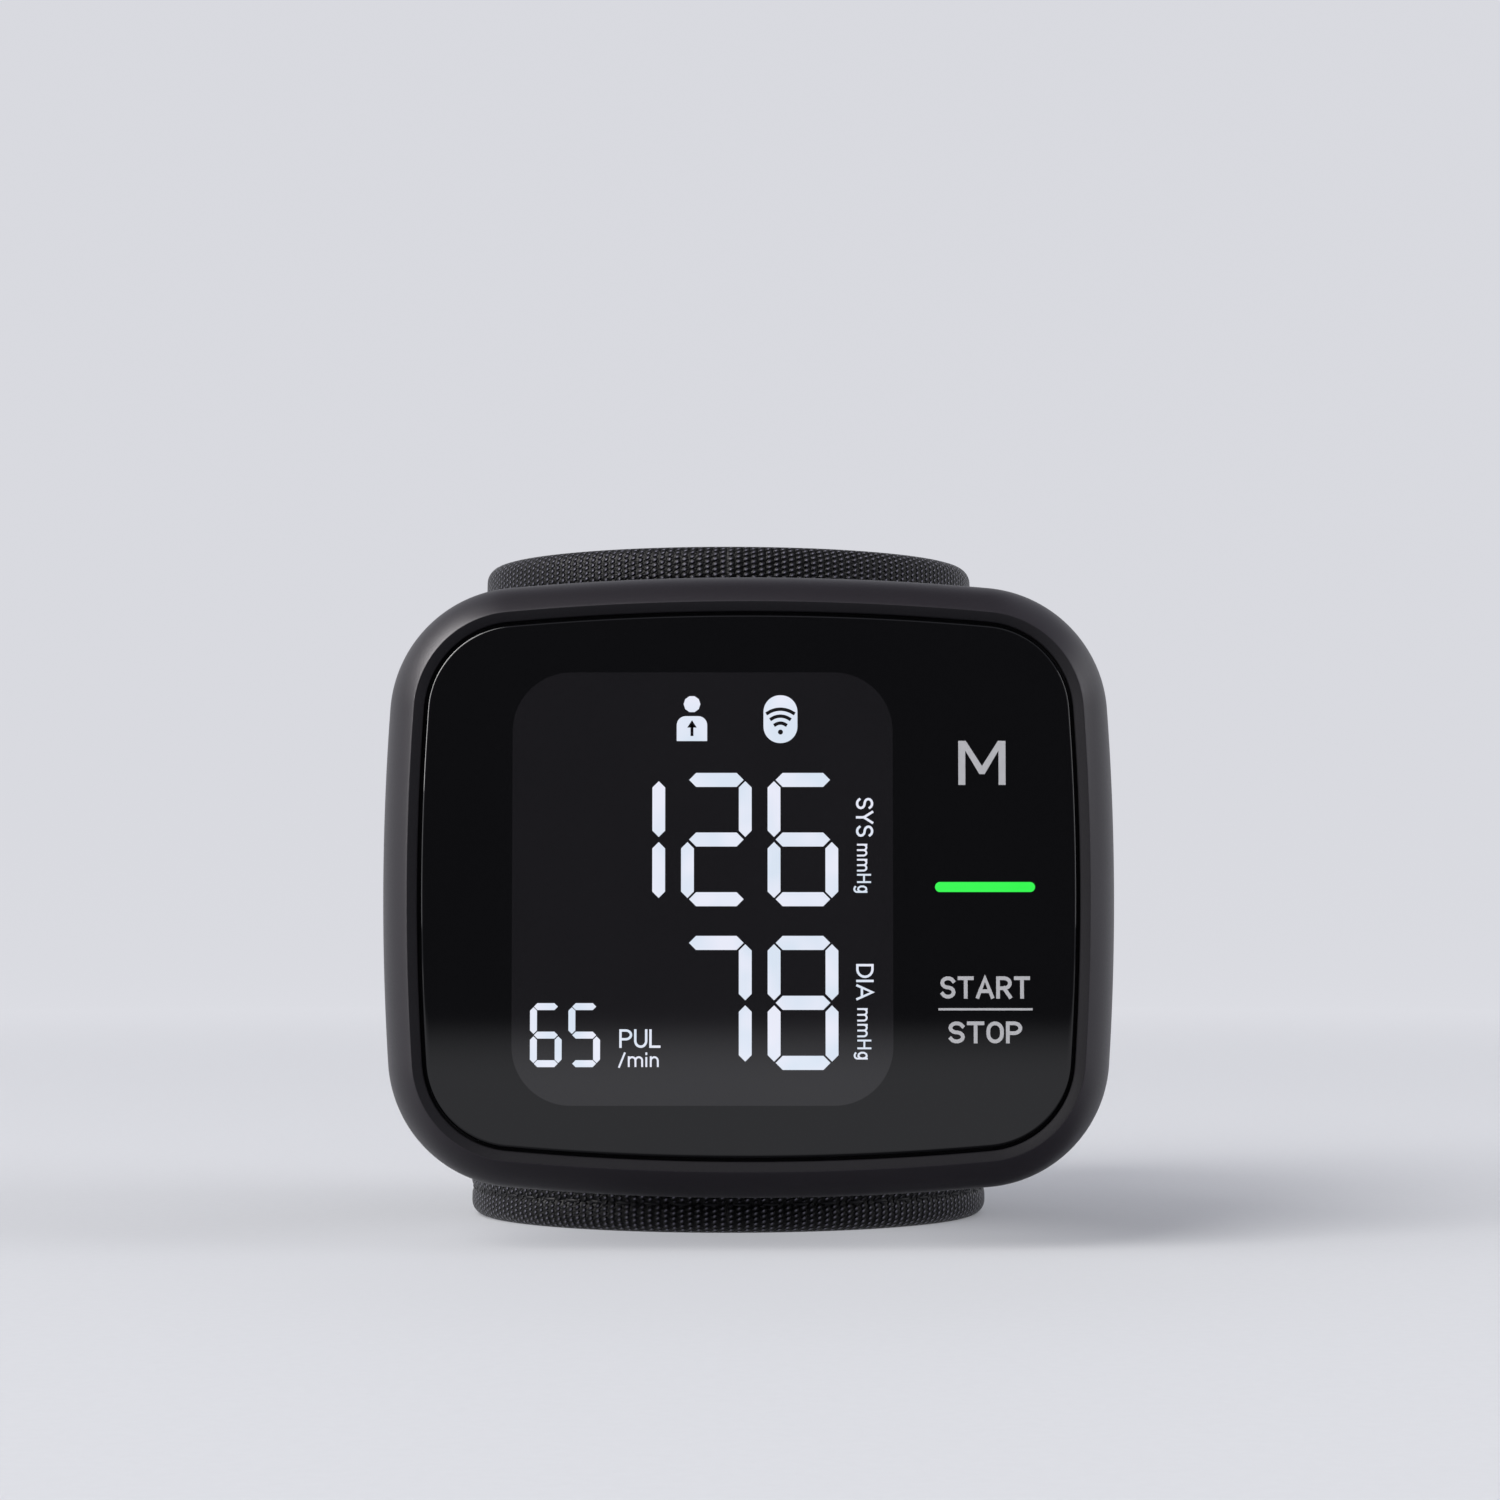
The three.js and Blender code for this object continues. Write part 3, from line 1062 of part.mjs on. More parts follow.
function fasteners(group) {
  screwPlaces.forEach(([x, z], i) => {
    const seat = rearRim + CASE_SCREW_SEAT + FIT;
    const grip = seat - FRONT_SHELL_DEPTH + CASE_SCREW_GRIP;
    addPart(group, `case_screw_${i + 1}`, screw(x, z, seat, grip), STEEL);
  });
  boardScrewPlaces.forEach(([x, z], i) => {
    const grip = BOARD_THICKNESS + BOARD_SCREW_GRIP;
    addPart(group, `board_screw_${i + 1}`, screw(x, z, boardBack, grip), STEEL);
  });
  cuffScrewPlaces.forEach(([x, z], i) => {
    const seat = cuffFront + curlOuter + CURL_THICKNESS + FIT;
    addPart(group, `cuff_screw_${i + 1}`, screw(x, z, seat, seat - saddle + CUFF_SCREW_GRIP), STEEL);
  });
}

const monitor = new THREE.Group();
monitor.position.set(0, -objectDepth / 2, CUFF_HEIGHT / 2);
addPart(monitor, 'front_housing', frontHousing(), PLASTIC);
addPart(monitor, 'rear_housing', rearHousing(), PLASTIC);
addPart(monitor, 'lens', lens(), LENS);
addPart(monitor, 'lens_tape', lensTape(), RUBBER);
electronics(monitor);
pneumatics(monitor);
fasteners(monitor);

const cuff = new THREE.Group();
cuff.position.set(CUFF_OFFSET, cuffFront - objectDepth / 2, 0);
cuffLayers(cuff);
hookTab(cuff);

const part = new THREE.Group();
part.add(monitor, cuff);

export default part;
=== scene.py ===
import math

import bpy
import numpy as np
from mathutils import Matrix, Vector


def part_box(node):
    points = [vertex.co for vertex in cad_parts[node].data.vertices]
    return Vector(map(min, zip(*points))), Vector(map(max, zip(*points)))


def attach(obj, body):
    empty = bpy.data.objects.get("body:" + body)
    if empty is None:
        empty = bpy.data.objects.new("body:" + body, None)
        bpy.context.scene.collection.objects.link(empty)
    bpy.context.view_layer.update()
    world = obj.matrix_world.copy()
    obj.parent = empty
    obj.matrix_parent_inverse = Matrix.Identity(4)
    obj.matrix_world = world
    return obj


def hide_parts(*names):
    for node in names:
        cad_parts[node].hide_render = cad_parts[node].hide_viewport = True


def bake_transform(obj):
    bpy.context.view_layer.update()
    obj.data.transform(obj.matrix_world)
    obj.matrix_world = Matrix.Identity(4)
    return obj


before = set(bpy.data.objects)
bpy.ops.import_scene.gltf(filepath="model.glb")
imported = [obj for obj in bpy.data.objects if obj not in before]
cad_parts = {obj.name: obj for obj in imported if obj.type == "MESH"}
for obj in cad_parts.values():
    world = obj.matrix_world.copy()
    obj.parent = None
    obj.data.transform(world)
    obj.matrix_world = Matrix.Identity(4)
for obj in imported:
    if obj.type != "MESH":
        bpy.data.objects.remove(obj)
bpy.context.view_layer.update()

# Front shell: a black ABS moulding with a rolled bezel round the lens. It is injection moulded in a
# finely etched tool, so it has a satin skin, and its crest is a clean line above a narrow chamfer.
MM = 0.001
SAME_PLACE = 1e-6
CASE_HALF_WIDTH, CASE_HALF_HEIGHT, CASE_CORNER = 37.0, 31.4, 13.3
SIDE_BOW, TOP_BOW = 265.0, 270.0
OUTLINE_POINTS, CORNER_DENSITY = 360, 1.6
BEZEL_ROLL, ROLL_DEPTH, ROLL_STEPS = 3.15, 8.0, 24
CREST_TURN, CREST_ROUND = math.pi / 3, 0.07
CHAMFER_INSET, CHAMFER_DEPTH = 4.1, 0.55
LIP_STEPS = ((-0.1, -0.05), (-0.03, 0.02), (0.0, 0.1))
PLATE_FRONT, PLATE_BACK, PLATE_OPENING = 1.9, 3.1, 6.0
PARTING, PARTING_EDGE = 12.0, 0.25
WALL = 1.8
SLOT_Z, SLOT_DEPTH = -12.0, 8.9
SLOT_REACH, SLOT_WIDTH, SLOT_THICKNESS, SLOT_ROUND = 4.0, 9.6, 3.8, 1.85
EDGE_STEPS, SLOT_STEPS = 3, 8
CUT_PAST = 1.0
SMOOTH_ANGLE = math.radians(32)
MIX_A, MIX_B = 6, 7  # a Mix node's two colour sockets

crest_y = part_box("front_housing")[0][1] / MM
case_z = (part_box("front_housing")[0][2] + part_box("front_housing")[1][2]) / 2 / MM


def hex_linear(code):
    channels = [int(code[i:i + 2], 16) / 255 for i in (1, 3, 5)]
    linear = [c / 12.92 if c <= 0.04045 else ((c + 0.055) / 1.055) ** 2.4 for c in channels]
    return (*linear, 1.0)


def set_inputs(node, inputs):
    """Sets inputs by name or number: a node or a socket is linked, and anything else is a value."""
    for key, value in inputs.items():
        if isinstance(value, bpy.types.Node):
            value = next(output for output in value.outputs if output.enabled)
        if isinstance(value, bpy.types.NodeSocket):
            node.id_data.links.new(value, node.inputs[key])
        else:
            node.inputs[key].default_value = value


def add_node(tree, kind, inputs, **settings):
    node = tree.nodes.new(kind)
    for key, value in settings.items():
        setattr(node, key, value)
    set_inputs(node, inputs)
    return node


def new_material(name):
    material = bpy.data.materials.new(name)
    material.use_nodes = True
    tree = material.node_tree
    return material, tree, tree.nodes["Principled BSDF"], add_node(tree, "ShaderNodeTexCoord", {})


def mottled(name, dark, pale, grain, gloss, others=None, detail=3.0, relief=None,
            onto=("Base Color",)):
    """A material whose tone wanders between two colours in patches of a grain in millimetres, as
    its roughness does where gloss is a pair. Relief is a strength and a height in millimetres."""
    material, tree, surface, where = new_material(name)
    patches = add_node(tree, "ShaderNodeTexNoise", {
        "Vector": where.outputs["Object"], "Scale": 1 / (grain * MM), "Detail": detail})
    tone = add_node(tree, "ShaderNodeMix", {
        "Factor": patches, MIX_A: hex_linear(dark), MIX_B: hex_linear(pale)}, data_type="RGBA")
    if isinstance(gloss, tuple):
        gloss = add_node(tree, "ShaderNodeMapRange", {
            "Value": patches, "To Min": gloss[0], "To Max": gloss[1]})
    set_inputs(surface, {**dict.fromkeys(onto, tone), "Roughness": gloss, **(others or {})})
    if relief:
        set_inputs(surface, {"Normal": add_node(tree, "ShaderNodeBump", {
            "Height": patches, "Strength": relief[0], "Distance": relief[1] * MM})})
    return material


def dress(piece, material, body):
    piece.data.materials.clear()
    piece.data.materials.append(material)
    if body:
        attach(piece, body)


def select_only(*pieces):
    bpy.ops.object.select_all(action="DESELECT")
    for piece in pieces:
        piece.select_set(True)
    bpy.context.view_layer.objects.active = pieces[0]


def outline(share, inset):
    """The case's bowed outline in x and z, moved in by an inset, at shares of the way round."""
    side = np.array([CASE_HALF_WIDTH - SIDE_BOW, 0.0])
    top = np.array([0.0, CASE_HALF_HEIGHT - TOP_BOW])
    to_side, to_top = SIDE_BOW - CASE_CORNER, TOP_BOW - CASE_CORNER
    span = np.linalg.norm(top - side)
    along = (to_side ** 2 - to_top ** 2 + span ** 2) / (2 * span)
    across = math.sqrt(to_side ** 2 - along ** 2)
    way = (top - side) / span
    cx, cz = side + way * along + np.array([-way[1], way[0]]) * across
    side_turn = math.atan2(cz, cx - side[0])
    top_turn = math.atan2(cx, cz - top[1])
    quarter = math.pi / 2
    arcs = []
    for x, z, number in ((1, 1, 0), (-1, 1, 1), (-1, -1, 2), (1, -1, 3)):
        flip = number % 2
        first, last = (top_turn, side_turn) if flip else (side_turn, top_turn)
        ahead = quarter * number
        bow = (0, z * top[1], TOP_BOW) if flip else (x * side[0], 0, SIDE_BOW)
        arcs.append((*bow, ahead - first, ahead + first))
        arcs.append((x * cx, z * cz, CASE_CORNER, ahead + first, ahead + quarter - last))
    middle_x, middle_z, radius, begin, end = np.array(arcs).T
    lengths = radius * (end - begin) * np.array([1, CORNER_DENSITY] * 4)
    ends = np.concatenate([[0], np.cumsum(lengths)])
    place = np.mod(share, 1.0) * ends[-1]
    arc = np.clip(np.searchsorted(ends, place, side="right") - 1, 0, len(arcs) - 1)
    turn = begin[arc] + (place - ends[arc]) / lengths[arc] * (end - begin)[arc]
    out = radius[arc] - inset
    return middle_x[arc] + out * np.cos(turn), middle_z[arc] + out * np.sin(turn)


def flat_face(name, points, depth):
    """A flat face through points in x and z, that depth behind the crest, facing the front."""
    bpy.ops.object.select_all(action="DESELECT")
    bpy.ops.mesh.primitive_circle_add(vertices=len(points), fill_type="NGON")
    piece = bpy.context.object
    piece.name = piece.data.name = name
    for vertex, (x, z) in zip(piece.data.vertices, points):
        vertex.co = (x * MM, (crest_y + depth) * MM, (case_z + z) * MM)
    piece.data.update()
    if piece.data.polygons[0].normal.y > 0:
        piece.data.flip_normals()
    return piece


def extrude_back(distance):
    bpy.ops.mesh.extrude_region_move(
        TRANSFORM_OT_translate={"value": (0, distance * MM, 0), "orient_type": "GLOBAL"})


def case_solid(name, profile):
    """A solid that steps from a face of the case's outline along a profile of insets and depths."""
    inset, depth = profile[0]
    shares = np.arange(OUTLINE_POINTS) / OUTLINE_POINTS
    piece = flat_face(name, list(zip(*outline(shares, inset))), depth)
    bpy.ops.object.mode_set(mode="EDIT")
    bpy.ops.mesh.select_all(action="SELECT")
    for next_inset, next_depth in profile[1:]:
        if abs(next_inset - inset) < SAME_PLACE:
            extrude_back(next_depth - depth)
        else:
            bpy.ops.mesh.inset(thickness=(next_inset - inset) * MM, depth=(depth - next_depth) * MM)
        inset, depth = next_inset, next_depth
    bpy.ops.object.mode_set(mode="OBJECT")
    return piece


def cut_away(piece, tool):
    boolean = piece.modifiers.new("cut", "BOOLEAN")
    boolean.operation = "DIFFERENCE"
    boolean.solver = "EXACT"
    boolean.object = tool
    select_only(piece)
    bpy.ops.object.modifier_apply(modifier="cut")
    bpy.data.objects.remove(tool, do_unlink=True)


def bevel_where(piece, wanted, width, steps):
    """Rounds the edges whose two ends pass a test."""
    for vertex in piece.data.vertices:
        vertex.select = False
    for face in piece.data.polygons:
        face.select = False
    for edge in piece.data.edges:
        edge.select = wanted(*(piece.data.vertices[i].co for i in edge.vertices))
    bpy.ops.object.mode_set(mode="EDIT")
    bpy.ops.mesh.select_mode(type="EDGE")
    bpy.ops.mesh.bevel(offset=width * MM, segments=steps, affect="EDGES")
    bpy.ops.object.mode_set(mode="OBJECT")


def box_solid(name, low, high):
    bpy.ops.object.select_all(action="DESELECT")
    bpy.ops.mesh.primitive_cube_add(size=1)
    piece = bpy.context.object
    piece.name = piece.data.name = name
    piece.scale = [(b - a) * MM for a, b in zip(low, high)]
    piece.location = [(a + b) / 2 * MM for a, b in zip(low, high)]
    bpy.ops.object.transform_apply(location=True, rotation=True, scale=True)
    return piece


shell_profile = [(0, PARTING)]
for turn in np.linspace(0, CREST_TURN, ROLL_STEPS + 1):
    shell_profile.append((BEZEL_ROLL * (1 - math.cos(turn)) / (1 - math.cos(CREST_TURN)),
                          ROLL_DEPTH * (1 - math.sin(turn) / math.sin(CREST_TURN))))
shell_profile += [(CHAMFER_INSET + a, CHAMFER_DEPTH + b) for a, b in LIP_STEPS]
shell_profile.append((CHAMFER_INSET, PLATE_FRONT))
front_shell = case_solid("front_shell", shell_profile)
front_y, parting_y = crest_y * MM + SAME_PLACE, (crest_y + PARTING) * MM - SAME_PLACE
bevel_where(front_shell, lambda a, b: min(a.y, b.y) > parting_y, PARTING_EDGE, EDGE_STEPS)
bevel_where(front_shell, lambda a, b: max(a.y, b.y) < front_y, CREST_ROUND, EDGE_STEPS)
cut_away(front_shell, case_solid("cavity", [(WALL, PARTING + CUT_PAST), (WALL, PLATE_BACK)]))
cut_away(front_shell, case_solid("opening", [
    (PLATE_OPENING, PLATE_BACK + CUT_PAST), (PLATE_OPENING, PLATE_FRONT - CUT_PAST)]))
slot_middle = np.array([CASE_HALF_WIDTH, crest_y + SLOT_DEPTH, case_z + SLOT_Z])
slot_half = np.array([SLOT_REACH, SLOT_THICKNESS / 2, SLOT_WIDTH / 2])
slot_tool = box_solid("slot", slot_middle - slot_half, slot_middle + slot_half)
bevel_where(slot_tool, lambda a, b: abs(a.x - b.x) > MM, SLOT_ROUND, SLOT_STEPS)
cut_away(front_shell, slot_tool)
bpy.ops.object.shade_smooth_by_angle(angle=SMOOTH_ANGLE)

# Etched ABS: nearly black and satin, a little cloudy. The etch is far finer than a pixel, so it is
# drawn at 0.2 mm.
ETCH, CLOUD = 0.2, 14.3
shell_abs, tree, surface, where = new_material("etched_black_abs")
etch = add_node(tree, "ShaderNodeTexNoise", {
    "Vector": where.outputs["Object"], "Scale": 1 / (ETCH * MM), "Detail": 2.0})
cloud = add_node(tree, "ShaderNodeTexNoise", {
    "Vector": where.outputs["Object"], "Scale": 1 / (CLOUD * MM), "Detail": 3.0})
tone = add_node(tree, "ShaderNodeMix", {
    "Factor": cloud, MIX_A: hex_linear("#1d1a1f"), MIX_B: hex_linear("#232025")}, data_type="RGBA")
satin = add_node(tree, "ShaderNodeMapRange", {"Value": etch, "To Min": 0.36, "To Max": 0.5})
relief = add_node(tree, "ShaderNodeBump", {"Height": etch, "Strength": 0.1, "Distance": 0.03 * MM})
set_inputs(surface, {"Base Color": tone, "Roughness": satin, "Normal": relief,
                     "IOR": 1.54, "Specular IOR Level": 0.26})
dress(front_shell, shell_abs, "case")

# The chamfer and the wall down to the lens are etched coarser, so they stay matt beside the roll.
# Their darker tone is painted shade for that inward-facing recess
shaded_lip_abs = mottled("coarse_etched_abs_painted_shade", "#151417", "#1b1a1d", 0.25, 0.7,
                  {"Specular IOR Level": 0.1}, relief=(0.2, 0.03))
front_shell.data.materials.append(shaded_lip_abs)
# The darker copy, painted shade, goes on the faces that turn towards the middle in front of the
# plate
for face in front_shell.data.polygons:
    aside, above = face.center.x, face.center.z - case_z * MM
    towards_middle = face.normal.x * aside + face.normal.z * above < 0
    face.material_index = int(towards_middle and face.center.y < (crest_y + PLATE_FRONT) * MM)
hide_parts("front_housing")

# Rear shell: the same moulding, hollowed where the cuff lies against it and rounded for the hand.
# Its saddle flows into the flanks, so it is laid as one grid; four wells take the closing screws.
REAR_RIM, REAR_RINGS = 12.3, 12.0
REAR_ROLL_WIDTH, REAR_ROLL_DEPTH = 7.0, 13.0
REAR_COLUMNS, REAR_ROWS = 320, 120
SADDLE = 21.0
FLANK_CROWN, FLANK_DROP = 6.0, 12.0
CUFF_OFFSET = -2.3
CUFF_HALF_WIDTH_FOOT, CUFF_HALF_WIDTH_TOP = 29.0, 27.4
CUFF_HALF_DEPTH_FOOT, CUFF_HALF_DEPTH_TOP = 26.3, 24.7
HOLLOW_END = 0.98
RIDGE_ROUND, ROLL_ROUND = 1.1, 1.6
SCREW_X, SCREW_Z = 28.5, 21.5
WELL_RADIUS, WELL_FLOOR, WELL_DEPTH = 2.2, 16.8, 12.0
ROUND_SIDES = 40


def formed_grid(name, columns, rows, place, measure=None):
    """A grid laid over a form: place gives x, y, z in millimetres from shares across and along it,
    and measure the surface's own coordinates in millimetres for a pattern that follows it."""
    bpy.ops.object.select_all(action="DESELECT")
    bpy.ops.mesh.primitive_grid_add(x_subdivisions=columns, y_subdivisions=rows, size=2)
    piece = bpy.context.object
    piece.name = piece.data.name = name
    flat = np.empty(len(piece.data.vertices) * 3)
    piece.data.vertices.foreach_get("co", flat)
    shares = (flat.reshape(-1, 3) + 1) / 2
    placed = np.stack(place(shares[:, 0], shares[:, 1]), axis=-1) * MM
    piece.data.vertices.foreach_set("co", placed.ravel())
    if measure:
        uv = piece.data.uv_layers[0].data
        spread = np.empty(len(uv) * 2)
        uv.foreach_get("uv", spread)
        uv.foreach_set("uv", np.stack(measure(*spread.reshape(-1, 2).T), axis=-1).ravel())
    bpy.ops.object.mode_set(mode="EDIT")
    bpy.ops.mesh.select_all(action="SELECT")
    bpy.ops.mesh.remove_doubles(threshold=2 * SAME_PLACE)
    bpy.ops.mesh.normals_make_consistent(inside=False)
    bpy.ops.object.mode_set(mode="OBJECT")
    bpy.ops.object.shade_smooth_by_angle(angle=SMOOTH_ANGLE)
    return piece


def thicken(piece, thickness):
    """Gives a sheet its thickness in millimetres, behind its face."""
    wall = piece.modifiers.new("wall", "SOLIDIFY")
    wall.thickness = thickness * MM
    wall.offset = -1
    bpy.ops.object.modifier_apply(modifier="wall")


def round_bar(radius, x, z, front, back):
    """A round bar between two depths."""
    bpy.ops.object.select_all(action="DESELECT")
    bpy.ops.mesh.primitive_cylinder_add(
        vertices=ROUND_SIDES, radius=radius * MM, depth=(back - front) * MM,
        rotation=(-math.pi / 2, 0, 0), location=(x * MM, (front + back) / 2 * MM, z * MM))
    bar = bpy.context.object
    bpy.ops.object.transform_apply(location=True, rotation=True, scale=True)
    return bar


def soft_least(a, b, round_by):
    mix = np.clip(0.5 + 0.5 * (b - a) / round_by, 0, 1)
    return b * (1 - mix) + a * mix - round_by * mix * (1 - mix)


def rear_place(across, along):
    """Half of the rows step in round the rim, and the others shrink from there to the middle."""
    rim = along <= 0.5
    inset = (1 - np.cos(np.clip(along / 0.5, 0, 1) * math.pi / 2)) * REAR_RINGS
    shrink = np.where(rim, 1.0, 2 - 2 * along)
    x, z = (c * shrink for c in outline(across, inset))
    past = np.where(rim, np.maximum(REAR_ROLL_WIDTH - inset, 0), 0) / REAR_ROLL_WIDTH
    roll = REAR_RIM + REAR_ROLL_DEPTH * np.sqrt(1 - past ** 2)
    flank = SADDLE + FLANK_CROWN - FLANK_DROP * np.abs(x / CASE_HALF_WIDTH) ** 3
    aside = np.clip(np.abs(x - CUFF_OFFSET) / CUFF_HALF_WIDTH_FOOT, 0, HOLLOW_END)
    hollow = SADDLE + CUFF_HALF_DEPTH_FOOT * (1 - np.sqrt(1 - aside ** 2))
    depth = soft_least(roll, soft_least(flank, hollow, RIDGE_ROUND), ROLL_ROUND)
    return x, crest_y + np.where(along <= 0, REAR_RIM, np.maximum(depth, REAR_RIM)), case_z + z


rear_shell = formed_grid("rear_shell", REAR_COLUMNS, REAR_ROWS, rear_place)
thicken(rear_shell, WALL)
for x in (SCREW_X, -SCREW_X):
    for z in (SCREW_Z, -SCREW_Z):
        floor = crest_y + WELL_FLOOR
        cut_away(rear_shell, round_bar(WELL_RADIUS, x, case_z + z, floor, floor + WELL_DEPTH))
bpy.ops.object.shade_smooth_by_angle(angle=SMOOTH_ANGLE)
dress(rear_shell, shell_abs, "case")
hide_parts("rear_housing")

# Closing screws: four steel screws with a rounded head and a cross recess, headed, rolled and zinc
# plated. They are driven from behind, through the rear shell's wells into the front shell.
SCREW_HEAD_RADIUS, SCREW_HEAD_HEIGHT = 1.9, 1.3
SCREW_RADIUS, SCREW_TIP = 1.0, 0.5
HEAD_ROUND, HEAD_STEPS = 0.5, 5
CROSS_LENGTH, CROSS_WIDTH, CROSS_DEPTH = 2.0, 0.5, 0.75

# Zinc plate: pale grey metal, its shine broken by fine marks
zinc_steel = mottled("zinc_plated_steel", "#a9abad", "#c2c4c6", 0.333, (0.22, 0.42),
                     {"Metallic": 1.0})
for number in range(1, 5):
    low, high = (np.array(c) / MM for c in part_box(f"case_screw_{number}"))
    middle = (low + high) / 2
    head_y, seat = high[1] * MM - SAME_PLACE, high[1] - SCREW_HEAD_HEIGHT
    screw = round_bar(SCREW_HEAD_RADIUS, middle[0], middle[2], seat, high[1])
    screw.name = screw.data.name = f"closing_screw_{number}"
    for face in screw.data.polygons:
        face.select = len(face.vertices) > 4 and abs(face.center.y - seat * MM) < SAME_PLACE
    bpy.ops.object.mode_set(mode="EDIT")
    bpy.ops.mesh.select_mode(type="FACE")
    bpy.ops.mesh.inset(thickness=(SCREW_HEAD_RADIUS - SCREW_RADIUS) * MM)
    extrude_back(low[1] + SCREW_TIP - seat)
    bpy.ops.mesh.inset(thickness=SCREW_RADIUS / 2 * MM, depth=SCREW_TIP * MM)
    bpy.ops.object.mode_set(mode="OBJECT")
    bevel_where(screw, lambda a, b: min(a.y, b.y) > head_y, HEAD_ROUND, HEAD_STEPS)
    for width, height in ((CROSS_LENGTH, CROSS_WIDTH), (CROSS_WIDTH, CROSS_LENGTH)):
        reach = np.array([width / 2, 0, height / 2])
        floor = middle * [1, 0, 1] + [0, high[1] - CROSS_DEPTH, 0]
        ceiling = middle * [1, 0, 1] + [0, high[1] + CUT_PAST, 0]
        cut_away(screw, box_solid("cross", floor - reach, ceiling + reach))
    bpy.ops.object.shade_smooth_by_angle(angle=SMOOTH_ANGLE)
    dress(screw, zinc_steel, "case")
    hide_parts(f"case_screw_{number}")

# Charging socket: a drawn steel shell, soldered to the board, that opens in the right wall. In it
# stands a tongue moulded from black polymer, with a row of gold-plated contacts on each face.
TONGUE_WIDTH, TONGUE_THICKNESS, TONGUE_ROUND = 6.6, 0.7, 0.2
TONGUE_SETBACK, TONGUE_ROOT = 0.6, 0.25
CONTACT_COUNT, CONTACT_WIDTH, CONTACT_LENGTH, CONTACT_HEIGHT = 12, 0.26, 3.2, 0.03
CONTACT_SETBACK, CONTACT_MARGIN, CONTACT_SINK = 0.3, 1.0, 0.01


def join(name, pieces):
    select_only(*pieces)
    if len(pieces) > 1:
        bpy.ops.object.join()
    joined = bpy.context.object
    joined.name = joined.data.name = name
    return joined


low, high = (np.array(c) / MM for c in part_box("usb_socket"))
middle = (low + high) / 2
tongue_tip = high[0] - TONGUE_SETBACK
tongue_end = tongue_tip * MM - SAME_PLACE
half = np.array([0, TONGUE_THICKNESS / 2, TONGUE_WIDTH / 2])
tongue = box_solid("socket_tongue", middle * [0, 1, 1] + [low[0] + TONGUE_ROOT, 0, 0] - half,
                   middle * [0, 1, 1] + [tongue_tip, 0, 0] + half)
bevel_where(tongue, lambda a, b: min(a.x, b.x) > tongue_end, TONGUE_ROUND, EDGE_STEPS)
# Moulded polymer: a dull black with a faint speckle of its glass filling
black_lcp = mottled("black_socket_polymer", "#101012", "#1b1b1e", 0.4, 0.5)
dress(tongue, black_lcp, "case")
contacts = []
for side in (-1, 1):
    for place in np.linspace(-0.5, 0.5, CONTACT_COUNT) * (TONGUE_WIDTH - CONTACT_MARGIN):
        face = middle[1] + side * (TONGUE_THICKNESS + CONTACT_HEIGHT) / 2
        half = np.array([0, CONTACT_HEIGHT / 2 + CONTACT_SINK, CONTACT_WIDTH / 2])
        start = np.array([tongue_tip - CONTACT_SETBACK - CONTACT_LENGTH, face, middle[2] + place])
        contacts.append(box_solid("contact", start - half, start + half + [CONTACT_LENGTH, 0, 0]))
contacts = join("socket_contacts", contacts)
# Gold plate: warm bright metal with faint wipe marks
gold_plate = mottled("gold_plated_contact", "#c9a24e", "#e2c06c", 0.25, 0.25,
                     {"Metallic": 1.0}, 2.0)
dress(contacts, gold_plate, "case")

# Lens: one pane of acrylic over the whole front, printed black behind, its edge round and polished.
# It is cut from sheet and held on the shell's inner rim by a frame of adhesive tape.
LENS_INSET, LENS_FRONT, LENS_BACK = 4.4, 0.5, 1.7
LENS_EDGE, LENS_STEPS, LENS_RIM = 0.35, 8, 0.25

lens_profile = [(LENS_INSET, LENS_BACK)]
for turn in np.linspace(0, math.pi / 2, LENS_STEPS + 1):
    lens_profile.append((LENS_INSET + LENS_EDGE * (1 - math.cos(turn)),
                         LENS_FRONT + LENS_EDGE * (1 - math.sin(turn))))
lens_profile.append((LENS_INSET + LENS_EDGE + LENS_RIM, LENS_FRONT))
lens_pane = case_solid("lens_pane", lens_profile)
bpy.ops.object.shade_smooth_by_angle(angle=SMOOTH_ANGLE)
# Acrylic with black ink behind it: deep black under a mirror gloss, with the faintest haze
lens_acrylic = mottled("black_backed_acrylic", "#050506", "#070708", 16.7, (0.02, 0.04),
                       {"IOR": 1.49}, 2.0)
dress(lens_pane, lens_acrylic, "case")
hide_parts("lens")

# Display window: the clear field in the lens's black backing. The glass under it shines as well, so
# it looks a little greyer. Window, figures and signs are films on the lens, too thin to feel.
FILM = 0.012
WINDOW_LIFT, SIGN_LIFT, MASK_LIFT = 0.015, 0.032, 0.049
PIXELS_PER_MM, LENS_MIDDLE_PX = 10.09, (748.6, 885.4)
WINDOW_PX, WINDOW_CORNER, WINDOW_STEPS = (512, 672, 893, 1105), 59, 16


def at(px, py):
    """A pixel of the picture as x and z on the lens, from its middle."""
    return (px - LENS_MIDDLE_PX[0]) / PIXELS_PER_MM, (LENS_MIDDLE_PX[1] - py) / PIXELS_PER_MM


